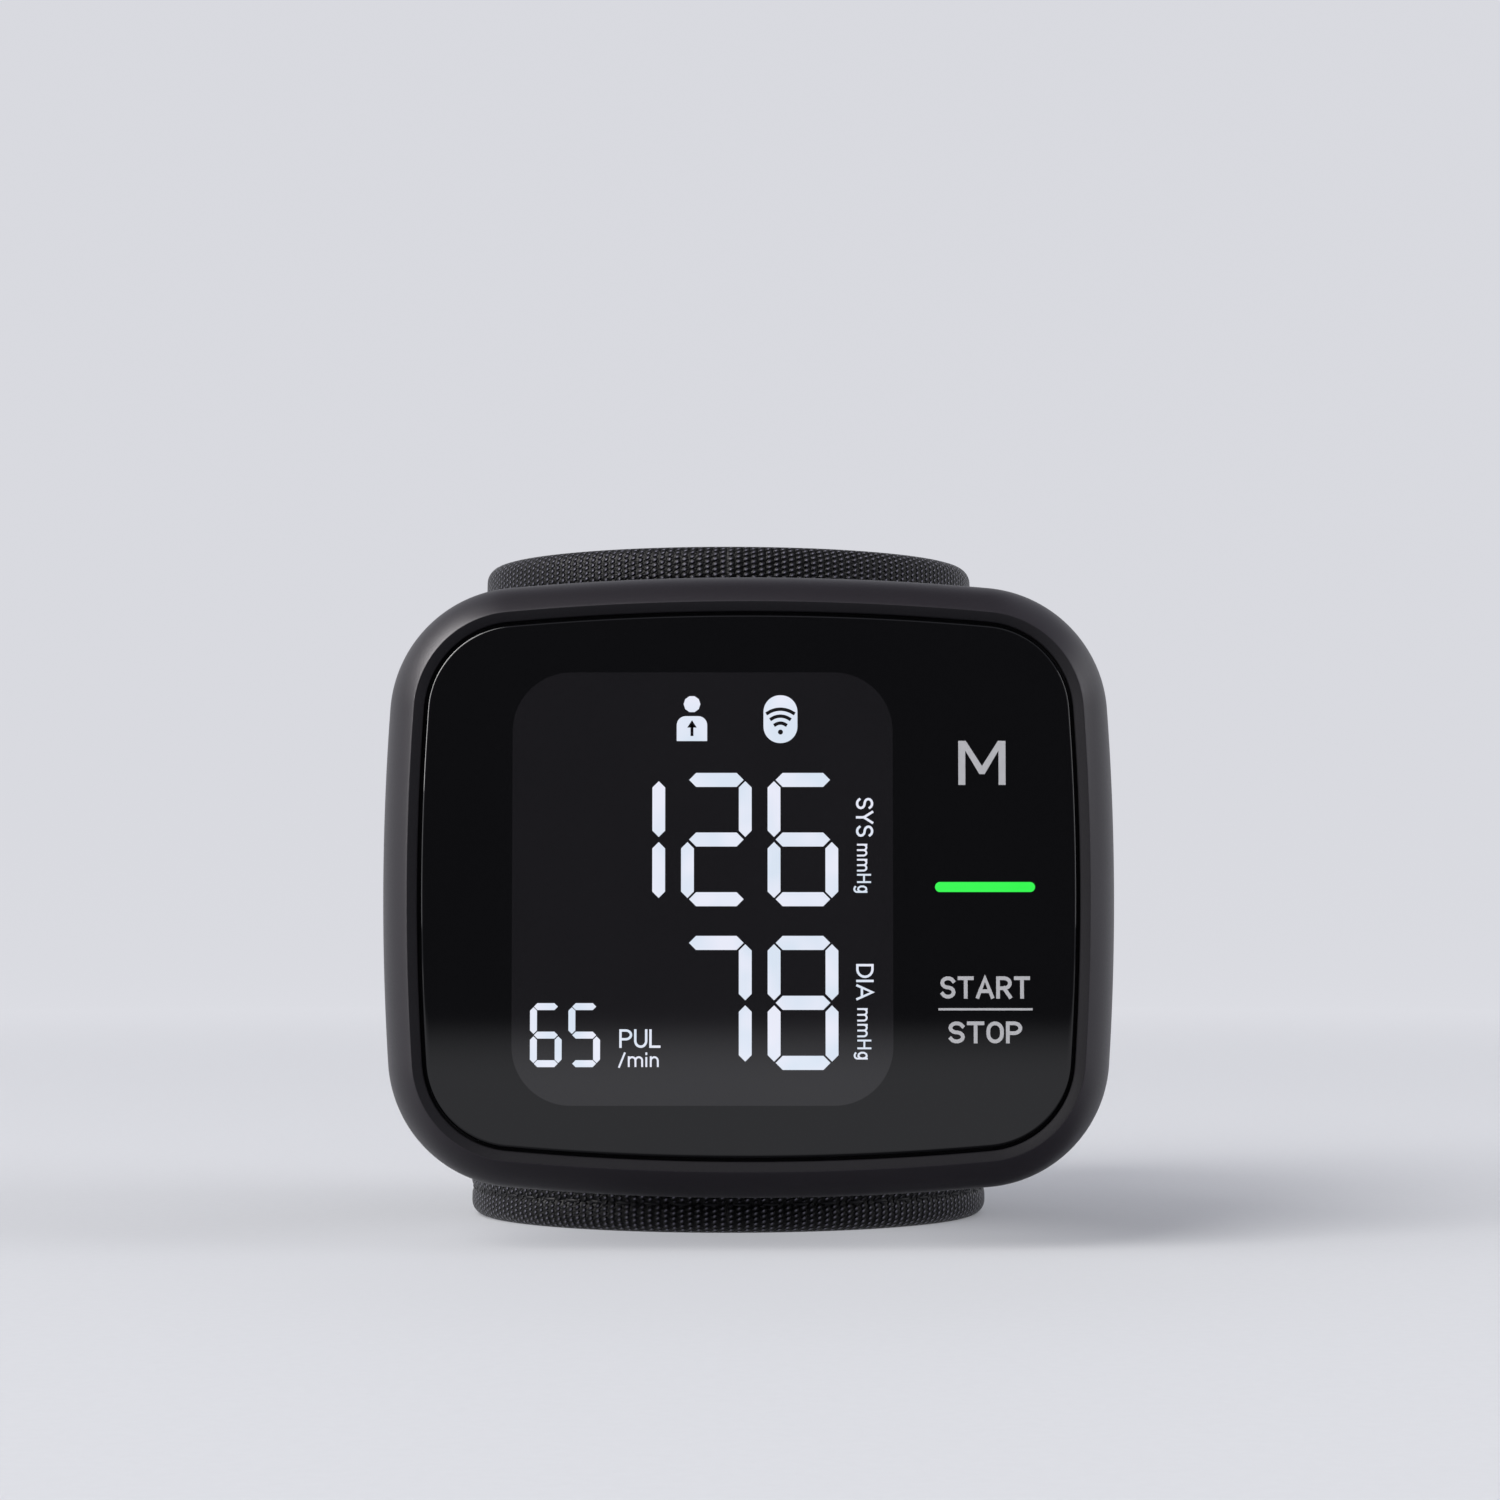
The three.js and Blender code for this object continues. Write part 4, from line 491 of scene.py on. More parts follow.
def tile(box_px, lift, corner=0.0, steps=1, only_top=False):
    """A flat plate on the lens over a box of pixels, with its corners cut or rounded."""
    (left, top), (right, foot) = at(*box_px[:2]), at(*box_px[2:])
    middle_x, middle_z = (left + right) / 2 * MM, (case_z + (top + foot) / 2) * MM
    bpy.ops.object.select_all(action="DESELECT")
    bpy.ops.mesh.primitive_plane_add(
        size=1, rotation=(math.pi / 2, 0, 0),
        location=(middle_x, (crest_y + LENS_FRONT - lift) * MM, middle_z))
    piece = bpy.context.object
    piece.scale = ((right - left) * MM, (top - foot) * MM, 1)
    bpy.ops.object.transform_apply(location=True, rotation=True, scale=True)
    if corner:
        bpy.ops.object.mode_set(mode="EDIT")
        bpy.ops.mesh.select_mode(type="VERT")
        bpy.ops.mesh.select_all(action="DESELECT")
        bpy.ops.object.mode_set(mode="OBJECT")
        for vertex in piece.data.vertices:
            vertex.select = not only_top or vertex.co.z > middle_z
        bpy.ops.object.mode_set(mode="EDIT")
        bpy.ops.mesh.bevel(offset=corner / PIXELS_PER_MM * MM, segments=steps, affect="VERTICES")
        bpy.ops.mesh.remove_doubles(threshold=SAME_PLACE)
        bpy.ops.object.mode_set(mode="OBJECT")
    return piece


def film(name, shapes):
    """Several flat shapes as one piece, given the film's thickness towards the lens."""
    piece = join(name, shapes)
    for face in piece.data.polygons:
        if face.normal.y > 0:
            face.flip()
    thicken(piece, FILM)
    bpy.ops.object.shade_flat()
    return piece


display_window = film("display_window", [tile(WINDOW_PX, WINDOW_LIFT, WINDOW_CORNER, WINDOW_STEPS)])
# Smoked glass: a shade greyer than the black round it, under a little more gloss
window_glass = mottled("smoked_window_glass", "#111012", "#141315", 12.5, 0.04, {"IOR": 1.64}, 2.0)
dress(display_window, window_glass, "case")

# Figures: the lit segments of the display, each a light behind a clear place in its printed mask.
# They have pointed ends and stand a hair apart, as on any such readout.
FIGURE_SIZE, SMALL_SIZE = (70.6, 133.4), (31.6, 63.6)
FIGURE_BAR, FIGURE_POST, SMALL_STROKE = 14.0, 12.8, 6.9
BAR_GAP, POST_GAP, SMALL_BAR_GAP, SMALL_POST_GAP = 1.6, 2.5, 0.4, 1.2
POST_END_SHARE = 0.5
LIT = {"1": "bc", "2": "abged", "5": "afgcd", "6": "afgedc", "7": "abc", "8": "abcdefg"}
UPPER_TOP, LOWER_TOP, SMALL_TOP = 773, 936, 1003
UPPER_FIGURES = (("1", 594.4), ("2", 681), ("6", 767.6))
LOWER_FIGURES = (("7", 681), ("8", 767.6))
SMALL_FIGURES = (("6", 530.5), ("5", 568.8))


def figure(sign, left, top, size, bar, post, bar_gap, post_gap):
    """The lit segments of one figure, placed in pixels."""
    right, foot, middle = left + size[0], top + size[1], top + size[1] / 2
    bars = {"a": top, "g": middle - bar / 2, "d": foot - bar}
    posts = {"f": (left, 0), "b": (right - post, 0), "e": (left, 1), "c": (right - post, 1)}
    end_gap = bar / 2 + POST_END_SHARE * post_gap
    ends = ((top + end_gap, middle - post_gap), (middle + post_gap, foot - end_gap))
    shapes = []
    for key in LIT[sign]:
        if key in bars:
            inside = post / 2 + bar_gap
            box = (left + inside, bars[key], right - inside, bars[key] + bar)
            shapes.append(tile(box, SIGN_LIFT, bar / 2))
        else:
            x, lower = posts[key]
            shapes.append(tile((x, ends[lower][0], x + post, ends[lower][1]), SIGN_LIFT, post / 2))
    return shapes


shapes = []
for top, signs in ((UPPER_TOP, UPPER_FIGURES), (LOWER_TOP, LOWER_FIGURES)):
    for sign, left in signs:
        shapes += figure(sign, left, top, FIGURE_SIZE, FIGURE_BAR, FIGURE_POST, BAR_GAP, POST_GAP)
for sign, left in SMALL_FIGURES:
    shapes += figure(sign, left, SMALL_TOP, SMALL_SIZE, SMALL_STROKE, SMALL_STROKE,
                     SMALL_BAR_GAP, SMALL_POST_GAP)
display_figures = film("display_figures", shapes)

# Lit segments: cool white light with soft paler-blue patches, under the same gloss as the lens
LIGHT_PATCH = 3.85
lit_white, tree, surface, where = new_material("lit_segment_white")
patch = add_node(tree, "ShaderNodeTexNoise", {
    "Vector": where.outputs["Object"], "Scale": 1 / (LIGHT_PATCH * MM), "Detail": 1.0})
spread = add_node(tree, "ShaderNodeMapRange", {"Value": patch, "From Min": 0.35, "From Max": 0.65})
glow = add_node(tree, "ShaderNodeMix", {
    "Factor": spread, MIX_A: hex_linear("#dbe6f4"), MIX_B: hex_linear("#ebedfa")}, data_type="RGBA")
set_inputs(surface, {"Emission Color": glow, "Emission Strength": 0.96,
                     "Base Color": hex_linear("#1c2026"), "Roughness": 0.05})
dress(display_figures, lit_white, "case")


# Signs: the lit words and symbols beside the figures, clear places in the same printed mask. They
# are strokes of one width, and a stroke that meets another in its letter lies a hair above it.
def bow(x, z, half_width, half_height, start, end):
    turns = np.radians(np.linspace(start, end, 10))
    return [(x + half_width * math.cos(t), z + half_height * math.sin(t)) for t in turns]


STROKE_STEP = 0.002
SIGN_WORD, SIGN_UNIT, UNIT_GAP = (17.4, 2.35), (14, 1.8), 0.17
STEM = [(0, 0), (0, 1)]
P_BOWL = [(0, 1), (0.5, 1), *bow(0.5, 0.73, 0.5, 0.27, 80, -80), (0.5, 0.46), (0, 0.46)]
# Each letter's width as a share of its height, then its strokes' middle lines in a box of 1 by 1
LETTERS = {
    "A": (0.74, [[(0, 0), (0.5, 1), (1, 0)], [(0.18, 0.3), (0.82, 0.3)]]),
    "D": (0.66, [[(0, 0), (0, 1), (0.35, 1), *bow(0.35, 0.5, 0.65, 0.5, 80, -80),
                  (0.35, 0), (0, 0)]]),
    "H": (0.66, [STEM, [(1, 0), (1, 1)], [(0, 0.5), (1, 0.5)]]),
    "I": (0.0, [STEM]),
    "L": (0.54, [[(0, 1), (0, 0), (1, 0)]]),
    "O": (0.66, [[*bow(0.5, 0.6, 0.5, 0.4, 0, 180), *bow(0.5, 0.4, 0.5, 0.4, 180, 360), (1, 0.6)]]),
    "P": (0.62, [STEM, P_BOWL]),
    "R": (0.64, [STEM, P_BOWL, [(0.5, 0.46), (1, 0)]]),
    "S": (0.62, [[*bow(0.5, 0.75, 0.5, 0.25, 22, 260), *bow(0.5, 0.25, 0.5, 0.25, 80, -158)]]),
    "T": (0.66, [[(0, 1), (1, 1)], [(0.5, 1), (0.5, 0)]]),
    "U": (0.64, [[(0, 1), (0, 0.36), *bow(0.5, 0.36, 0.5, 0.36, 190, 350), (1, 0.36), (1, 1)]]),
    "Y": (0.7, [[(0, 1), (0.5, 0.45), (0.5, 0)], [(1, 1), (0.5, 0.45)]]),
    "g": (0.54, [[*bow(0.5, 0.35, 0.5, 0.35, 0, 360)],
                 [(1, 0.7), (1, 0), *bow(0.5, -0.08, 0.5, 0.22, -10, -140)]]),
    "i": (0.0, [[(0, 0), (0, 0.64)], [(0, 0.94), (0, 1)]]),
    "m": (0.92, [[(0, 0), (0, 0.7)], [*bow(0.25, 0.45, 0.25, 0.25, 180, 10), (0.5, 0)],
                 [*bow(0.75, 0.45, 0.25, 0.25, 170, 10), (1, 0)]]),
    "n": (0.54, [[(0, 0), (0, 0.7)], [*bow(0.5, 0.4, 0.5, 0.3, 180, 10), (1, 0)]]),
    "/": (0.44, [[(0, -0.06), (1, 1.0)]]),
}


def nearest(share, count):
    """The number of the row or column that lies at a share of the way."""
    return np.rint(share * (count - 1)).astype(int)


def ribbon(points, width, depth):
    """A flat stroke of one width along points in x and z, with mitred corners and square ends."""
    line = np.array(points)
    line = line[np.concatenate([[True], np.linalg.norm(np.diff(line, axis=0), axis=1) > 1e-4])]
    loop = np.linalg.norm(line[0] - line[-1]) < 1e-3
    steps = np.diff(line, axis=0)
    steps /= np.linalg.norm(steps, axis=1)[:, None]
    if not loop:
        line[0] -= steps[0] * width / 2
        line[-1] += steps[-1] * width / 2
    before = np.vstack([steps[-1] if loop else steps[0], steps])
    after = np.vstack([steps, steps[0] if loop else steps[-1]])
    sides = np.stack([-(before + after)[:, 1], (before + after)[:, 0]], axis=1)
    sides /= np.linalg.norm(sides, axis=1)[:, None]
    square = np.stack([-before[:, 1], before[:, 0]], axis=1)
    sides /= np.clip((sides * square).sum(axis=1), 0.5, 1)[:, None]

    def place(across, along):
        index = nearest(across, len(line))
        spot = line[index] + sides[index] * ((along - 0.5) * width)[:, None]
        return spot[:, 0], np.full(len(spot), crest_y + depth), case_z + spot[:, 1]
    return formed_grid("stroke", len(line) - 1, 1, place)


def word(text, start_px, end_px, base_px, height_px, stroke_px, gap_share=0.1, down=False):
    """A word between two pixels of its line, standing on its base, or turned to read downwards."""
    widths = [max(LETTERS[c][0] * height_px, stroke_px) for c in text]
    gap = gap_share * height_px
    fit = (end_px - start_px - gap * (len(text) - 1)) / sum(widths)
    left, shapes = start_px, []
    for letter, width in zip(text, widths):
        width *= fit
        for level, stroke in enumerate(LETTERS[letter][1]):
            points = []
            for a, b in stroke:
                run = left + stroke_px / 2 + a * (width - stroke_px)
                rise = stroke_px / 2 + b * (height_px - stroke_px)
                points.append(at(base_px + rise, run) if down else at(run, base_px - rise))
            depth = LENS_FRONT - SIGN_LIFT - level * STROKE_STEP
            shapes.append(ribbon(points, stroke_px / PIXELS_PER_MM, depth))
        left += width + gap
    return shapes


def disc(px, py, radius_px, lift):
    points = [at(px + a, py - b) for a, b in bow(0, 0, radius_px, radius_px, 0, 324)]
    return flat_face("disc", points, LENS_FRONT - lift)


shapes = [disc(691.8, 703.9, 8.4, SIGN_LIFT)]
shapes.append(tile((676.5, 716, 707, 741), SIGN_LIFT, 9, 8, only_top=True))
shapes.append(tile((763.5, 695, 797.5, 743), SIGN_LIFT, 16.6, 12))
shapes += word("SYS", 798, 837, 856, *SIGN_WORD, down=True)
shapes += word("mmHg", 844, 893, 857, *SIGN_UNIT, UNIT_GAP, down=True)
shapes += word("DIA", 964, 1000, 856, *SIGN_WORD, down=True)
shapes += word("mmHg", 1008, 1059, 857, *SIGN_UNIT, UNIT_GAP, down=True)
shapes += word("PUL", 619.6, 660.7, 1047.5, 18.5, 2.4)
shapes += word("/min", 618.6, 659, 1066.5, 14.5, 1.85, 0.16)
display_signs = film("display_signs", shapes)
dress(display_signs, lit_white, "case")

# Sign masks: what the printed mask leaves dark inside two lit signs, which is the arrow on the
# standing figure and the radio waves on the round sign.
WAVES_PX, WAVE_RADII, WAVE_WIDTH = (780.5, 732), (9.0, 16.0, 23.0), 0.34
ARROW_PX = ((687, 727.5), (691.8, 720), (696.6, 727.5))

shapes = [tile((690.3, 724, 693.3, 736), MASK_LIFT)]
shapes.append(flat_face("arrow", [at(*p) for p in ARROW_PX], LENS_FRONT - MASK_LIFT))
shapes.append(disc(*WAVES_PX, 2.6, MASK_LIFT))
for radius in WAVE_RADII:
    arc = [at(WAVES_PX[0] + a, WAVES_PX[1] - b) for a, b in bow(0, 0, radius, radius, 56, 124)]
    shapes.append(ribbon(arc, WAVE_WIDTH, LENS_FRONT - MASK_LIFT))
sign_masks = film("sign_masks", shapes)
dress(sign_masks, window_glass, "case")

# Key legends: pale grey ink, screen printed behind the lens where the two touch pads lie under it.
# The ink is given a faint glow of its own, which is painted light.
M_PX = ((958.7, 785), (958.7, 740.8), (966.2, 740.8), (982.4, 766), (998.5, 740.8), (1006, 740.8),
        (1006, 785), (999, 785), (999, 750.5), (985, 774.2), (979.8, 774.2), (965.7, 750.5),
        (965.7, 785))
LEGEND_STROKE = 3.7

shapes = [flat_face("memory", [at(*p) for p in M_PX], LENS_FRONT - SIGN_LIFT)]
shapes += word("START", 940, 1029.5, 998.5, 22.2, LEGEND_STROKE)
shapes += word("STOP", 948, 1021.5, 1043, 21.8, LEGEND_STROKE)
shapes.append(tile((938, 1008, 1032, 1010.2), SIGN_LIFT))
key_legends = film("key_legends", shapes)
# Screen ink: an even pale grey, faintly mottled where it lies thin, under the pane's gloss, with a
# faint painted glow
grey_ink_painted_glow = mottled("pale_grey_ink_painted_glow", "#98989a", "#a3a3a5", 1.11, 0.05,
                   {"Emission Strength": 0.17}, 2.0, onto=("Base Color", "Emission Color"))
dress(key_legends, grey_ink_painted_glow, "case")

# Status light: a green bar between the two keys. A clear moulded guide brings a light on the board
# to a slot in the lens's black backing.
status_bar = film("status_bar", [tile((935, 882.2, 1035, 892.2), SIGN_LIFT, 4.9, 8)])
# Light guide: strong green light, almost even along the bar
lit_green = mottled("lit_green_guide", "#2cf148", "#42fa5c", 5.0, 0.05, {
    "Emission Strength": 1.0, "Base Color": hex_linear("#0d2a12")}, 2.0, onto=("Emission Color",))
dress(status_bar, lit_green, "case")

# Cuff cover: black woven nylon over the padded band, sewn from halves that meet behind the case.
# The cloth turns in over the top and the foot and is topstitched just inside both edges.
HANDS = ((-1, "left"), (1, "right"))
CUFF_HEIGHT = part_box("cuff_cover_front")[1][2] / MM
CUFF_FRONT = crest_y + 21.3
CUFF_THICKNESS, COVER, HEM = 6.3, 1.2, 1.8
EDGE_ROUND, INNER_EDGE_ROUND, EDGE_ROWS, INNER_EDGE_ROWS = 1.6, 0.8, 8, 5
BACK_END = 177.9
FOOT_STITCH, TOP_STITCH = 3.1, 3.8
SEAM_WIDTH, SEAM_DEPTH, SEAM_REACH, SEAM_ROWS = 0.35, 0.22, 1.2, 13
PUCKER, PUCKER_LENGTH = 0.25, 3.0
HALF_GIRTH = 85.0
FREE_FROM, FREE_TO, SEAM_HOLD = 48.0, 132.0, 0.5
SETTLE_STEPS, SETTLE_PRESSURE, CLOTH_SLACK, SWELL_LIMIT = 20, 4.0, 0.004, 0.6
COVER_COLUMNS, COVER_ROWS = 170, 60


def cuff_point(angle, inwards, z):
    """A place on the tapered cuff: degrees round from the front, inwards from its face, height."""
    share = z / CUFF_HEIGHT
    wide = CUFF_HALF_WIDTH_FOOT + (CUFF_HALF_WIDTH_TOP - CUFF_HALF_WIDTH_FOOT) * share
    deep = CUFF_HALF_DEPTH_FOOT + (CUFF_HALF_DEPTH_TOP - CUFF_HALF_DEPTH_FOOT) * share
    turn = np.radians(angle)
    x = CUFF_OFFSET + (wide - inwards) * np.sin(turn)
    return x, CUFF_FRONT + deep - (deep - inwards) * np.cos(turn), z


def rounded(inwards, z, radius, start, steps):
    turns = start + np.linspace(0, math.pi / 2, steps + 1)
    return [(inwards + radius * math.cos(t), z + radius * math.sin(t)) for t in turns]


def swell(side):
    """How far the cloth stands out as it settles over its padding: a simulation of one half."""
    low, high = EDGE_ROUND, CUFF_HEIGHT - EDGE_ROUND

    def place(across, along):
        return cuff_point(side * across * BACK_END, 0.0, low + (high - low) * along)
    cloth = formed_grid("settling_cloth", COVER_COLUMNS, COVER_ROWS, place)
    rest = np.array([v.co for v in cloth.data.vertices])
    x, y, z = rest.T / MM
    ways = np.degrees(np.abs(np.arctan2(x - CUFF_OFFSET, CUFF_FRONT + CUFF_HALF_DEPTH_TOP - y)))
    tight = (ways < FREE_FROM) | (ways > FREE_TO)
    tight |= (z < FOOT_STITCH + SEAM_HOLD) | (z > CUFF_HEIGHT - TOP_STITCH - SEAM_HOLD)
    held = cloth.vertex_groups.new(name="held")
    held.add([int(i) for i in np.nonzero(tight)[0]], 1.0, "REPLACE")
    settle = cloth.modifiers.new("settle", "CLOTH").settings
    settle.quality = 5
    settle.use_pressure = True
    settle.uniform_pressure_force = SETTLE_PRESSURE
    settle.effector_weights.gravity = 0.0
    settle.vertex_group_mass = "held"
    settle.shrink_min = -CLOTH_SLACK
    scene = bpy.context.scene
    for step in range(1, SETTLE_STEPS + 1):
        scene.frame_set(step)
    settled = cloth.evaluated_get(bpy.context.evaluated_depsgraph_get())
    moved = np.array([v.co for v in settled.data.vertices])
    normals = np.array([v.normal for v in cloth.data.vertices])
    out = ((moved - rest) * normals).sum(axis=1) / MM
    scene.frame_set(1)
    bpy.data.objects.remove(cloth, do_unlink=True)
    return SWELL_LIMIT * np.tanh(out / SWELL_LIMIT).reshape(COVER_ROWS + 1, COVER_COLUMNS + 1)


inner_edge = CUFF_THICKNESS - INNER_EDGE_ROUND
cover_section = rounded(EDGE_ROUND, EDGE_ROUND, EDGE_ROUND, math.pi, EDGE_ROWS)
cover_section += rounded(
    inner_edge, INNER_EDGE_ROUND, INNER_EDGE_ROUND, 1.5 * math.pi, INNER_EDGE_ROWS)
cover_section += [(CUFF_THICKNESS, HEM), (COVER, HEM)]
cover_section += [(COVER, CUFF_HEIGHT - HEM), (CUFF_THICKNESS, CUFF_HEIGHT - HEM)]
cover_section += rounded(
    inner_edge, CUFF_HEIGHT - INNER_EDGE_ROUND, INNER_EDGE_ROUND, 0, INNER_EDGE_ROWS)
cover_section += rounded(
    EDGE_ROUND, CUFF_HEIGHT - EDGE_ROUND, EDGE_ROUND, math.pi / 2, EDGE_ROWS)[:-1]
outer_start = len(cover_section)
seam_rows = np.linspace(-SEAM_REACH, SEAM_REACH, SEAM_ROWS)
heights = np.linspace(EDGE_ROUND, CUFF_HEIGHT - EDGE_ROUND, COVER_ROWS + 1)
for seam in (FOOT_STITCH, CUFF_HEIGHT - TOP_STITCH):
    heights = np.concatenate([heights[np.abs(heights - seam) > SEAM_REACH + 0.1], seam + seam_rows])
cover_section += [(0.0, z) for z in sorted(heights, reverse=True)]
cover_table = np.array(cover_section)


def run_along(side, section):
    """Distances in millimetres round the cuff and along the rows of a section."""
    steps = np.linalg.norm(np.diff(section, axis=0), axis=1)
    run = np.concatenate([[0], np.cumsum(steps)])
    rows = np.arange(len(run))

    def measure(across, along):
        return side * across * HALF_GIRTH, np.interp(along * (len(run) - 1), rows, run)
    return measure


def cover_place(side, out):
    """The cover's section round one half, with its swell, its seams' grooves and their pucker."""
    def place(across, along):
        angle = side * across * BACK_END
        row, column = nearest(along, len(cover_table)), nearest(across, COVER_COLUMNS + 1)
        inwards, z = cover_table[row].T
        level = np.clip((z - EDGE_ROUND) / (CUFF_HEIGHT - 2 * EDGE_ROUND), 0, 1) * COVER_ROWS
        below = np.minimum(level.astype(int), COVER_ROWS - 1)
        lift = out[below, column] + (level - below) * (out[below + 1, column] - out[below, column])
        seam = sum(np.exp(-((z - height) / SEAM_WIDTH) ** 2)
                   for height in (FOOT_STITCH, CUFF_HEIGHT - TOP_STITCH))
        pucker = 1 + PUCKER * np.sin(2 * math.pi * angle / 180 * HALF_GIRTH / PUCKER_LENGTH)
        sunk = np.where(row >= outer_start, SEAM_DEPTH * seam * pucker - lift, 0.0)
        return cuff_point(angle, inwards + sunk, z)
    return place


def close_ends(piece):
    select_only(piece)
    bpy.ops.object.mode_set(mode="EDIT")
    bpy.ops.mesh.select_all(action="SELECT")
    bpy.ops.mesh.fill_holes(sides=0)
    bpy.ops.mesh.normals_make_consistent(inside=False)
    bpy.ops.object.mode_set(mode="OBJECT")


def bend_with_wing(piece):
    """Bakes the piece's placement into its mesh."""
    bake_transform(piece)


def half_nodes(layer, side):
    """The stretches that one half of a layer stands for: the left half takes the front as well."""
    return [layer + "_front", layer + "_left"] if side < 0 else [layer + "_right"]


# Woven nylon: columns of slanting beads, 0.82 mm apart and 0.56 mm high, with dark gaps between
# them. The paler crown on each bead is a painted highlight, and the cloth's darkness in the grooves
# of its seams is painted shade.
BEAD_WIDTH, BEAD_HEIGHT, BEAD_SLANT, BEAD_NARROWING = 0.82, 0.56, 0.55, 1.3
YARN, WORN_PATCH = 0.25, 8.33
seam_middle = (FOOT_STITCH + CUFF_HEIGHT - TOP_STITCH) / 2
seam_reach = (CUFF_HEIGHT - TOP_STITCH - FOOT_STITCH) / 2
nylon_painted_glints_and_seam_shade, tree, surface, where = new_material("black_woven_nylon_painted_glints_and_seam_shade")
grid = add_node(tree, "ShaderNodeSeparateXYZ", {"Vector": where.outputs["UV"]})
columns = add_node(tree, "ShaderNodeMath", {
    0: grid.outputs["X"], 1: BEAD_WIDTH}, operation="DIVIDE")
column = add_node(tree, "ShaderNodeMath", {0: columns}, operation="FLOOR")
across = add_node(tree, "ShaderNodeMath", {0: columns, 1: column}, operation="SUBTRACT")
aside = add_node(tree, "ShaderNodeMath", {0: across, 1: 0.5}, operation="SUBTRACT")
stagger = add_node(tree, "ShaderNodeMath", {0: column, 1: 0.5}, operation="MULTIPLY")
rows = add_node(tree, "ShaderNodeMath", {
    0: grid.outputs["Y"], 1: 1 / BEAD_HEIGHT, 2: stagger}, operation="MULTIPLY_ADD")
slant = add_node(tree, "ShaderNodeMath", {
    0: aside, 1: BEAD_SLANT, 2: rows}, operation="MULTIPLY_ADD")
along = add_node(tree, "ShaderNodeMath", {0: slant}, operation="FRACT")
above = add_node(tree, "ShaderNodeMath", {0: along, 1: 0.5}, operation="SUBTRACT")
narrow = add_node(tree, "ShaderNodeMath", {0: aside, 1: BEAD_NARROWING}, operation="MULTIPLY")
spot = add_node(tree, "ShaderNodeCombineXYZ", {"X": narrow, "Y": above})
away = add_node(tree, "ShaderNodeVectorMath", {0: spot}, operation="LENGTH")
bead = add_node(tree, "ShaderNodeMapRange", {
    "Value": away, "From Min": 0.54, "From Max": 0.1}, interpolation_type="SMOOTHSTEP")
# Painted highlight: a pale spot on the crown of every bead
crown_highlight_mask = add_node(tree, "ShaderNodeMapRange", {
    "Value": away, "From Min": 0.32, "From Max": 0.08}, interpolation_type="SMOOTHSTEP")
yarn = add_node(tree, "ShaderNodeTexNoise", {
    "Vector": where.outputs["UV"], "Scale": 1 / YARN, "Detail": 3.0})
worn = add_node(tree, "ShaderNodeTexNoise", {
    "Vector": where.outputs["UV"], "Scale": 1 / WORN_PATCH, "Detail": 3.0})
thread = add_node(tree, "ShaderNodeMix", {
    "Factor": yarn, MIX_A: hex_linear("#17161b"), MIX_B: hex_linear("#38373f")}, data_type="RGBA")
shade = add_node(tree, "ShaderNodeMix", {
    "Factor": bead, MIX_A: hex_linear("#020203"), MIX_B: thread}, data_type="RGBA")
painted_crown_highlight = add_node(tree, "ShaderNodeMix", {
    "Factor": crown_highlight_mask, MIX_A: shade, MIX_B: hex_linear("#716f7b")}, data_type="RGBA")
# Painted shade: the cloth's tone falls almost to black within half a millimetre of either seam's
# height
level = add_node(tree, "ShaderNodeSeparateXYZ", {"Vector": where.outputs["Object"]})
up = add_node(tree, "ShaderNodeMath", {
    0: level.outputs["Z"], 1: seam_middle * MM}, operation="SUBTRACT")
from_middle = add_node(tree, "ShaderNodeMath", {0: up}, operation="ABSOLUTE")
off_seam = add_node(tree, "ShaderNodeMath", {
    0: from_middle, 1: seam_reach * MM}, operation="SUBTRACT")
beside = add_node(tree, "ShaderNodeMath", {0: off_seam}, operation="ABSOLUTE")
lit = add_node(tree, "ShaderNodeMapRange", {
    "Value": beside, "From Min": 0.1 * MM, "From Max": 0.5 * MM, "To Min": 0.1},
    interpolation_type="SMOOTHSTEP")
cloth = add_node(tree, "ShaderNodeMix", {
    "Factor": lit, MIX_A: hex_linear("#020203"), MIX_B: painted_crown_highlight}, data_type="RGBA")
rough = add_node(tree, "ShaderNodeMapRange", {"Value": worn, "To Min": 0.3, "To Max": 0.46})
fuzz = add_node(tree, "ShaderNodeMath", {0: yarn, 1: 0.25, 2: bead}, operation="MULTIPLY_ADD")
relief = add_node(tree, "ShaderNodeBump", {"Height": fuzz, "Strength": 1.0, "Distance": 0.45 * MM})
set_inputs(surface, {"Base Color": cloth, "Roughness": rough, "Normal": relief,
                     "Specular IOR Level": 0.12, "Sheen Weight": 0.03, "Sheen Roughness": 0.4})

for side, hand in HANDS:
    out = swell(side)
    cover = formed_grid("cuff_cloth_" + hand, COVER_COLUMNS, len(cover_table) - 1,
                        cover_place(side, out), run_along(side, cover_table))
    close_ends(cover)
    bend_with_wing(cover)
    dress(cover, nylon_painted_glints_and_seam_shade, None)
    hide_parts(*half_nodes("cuff_cover", side))

# Cuff core: inside the cover lie the curl, a polypropylene sheet that holds the cuff round, and the
# air bladder, welded from two TPU films. Both are loose in the cover and bend with it.
CURL_OUTER, CURL_INNER, CURL_EDGE, CURL_ROWS = 1.5, 2.6, 0.4, 8
BLADDER_OUTER, BLADDER_INNER, BLADDER_EDGE, BLADDER_ROWS = 2.9, 5.0, 0.5, 30
CORE_END, CORE_COLUMNS = 177.0, 120
CORE_LOW, CORE_HIGH = (c[2] / MM + 0.1 * s for c, s in zip(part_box("air_bladder_left"), (1, -1)))
WELD, WELD_THICKNESS = 4.0, 0.4
CUFF_RADIUS = 27.0


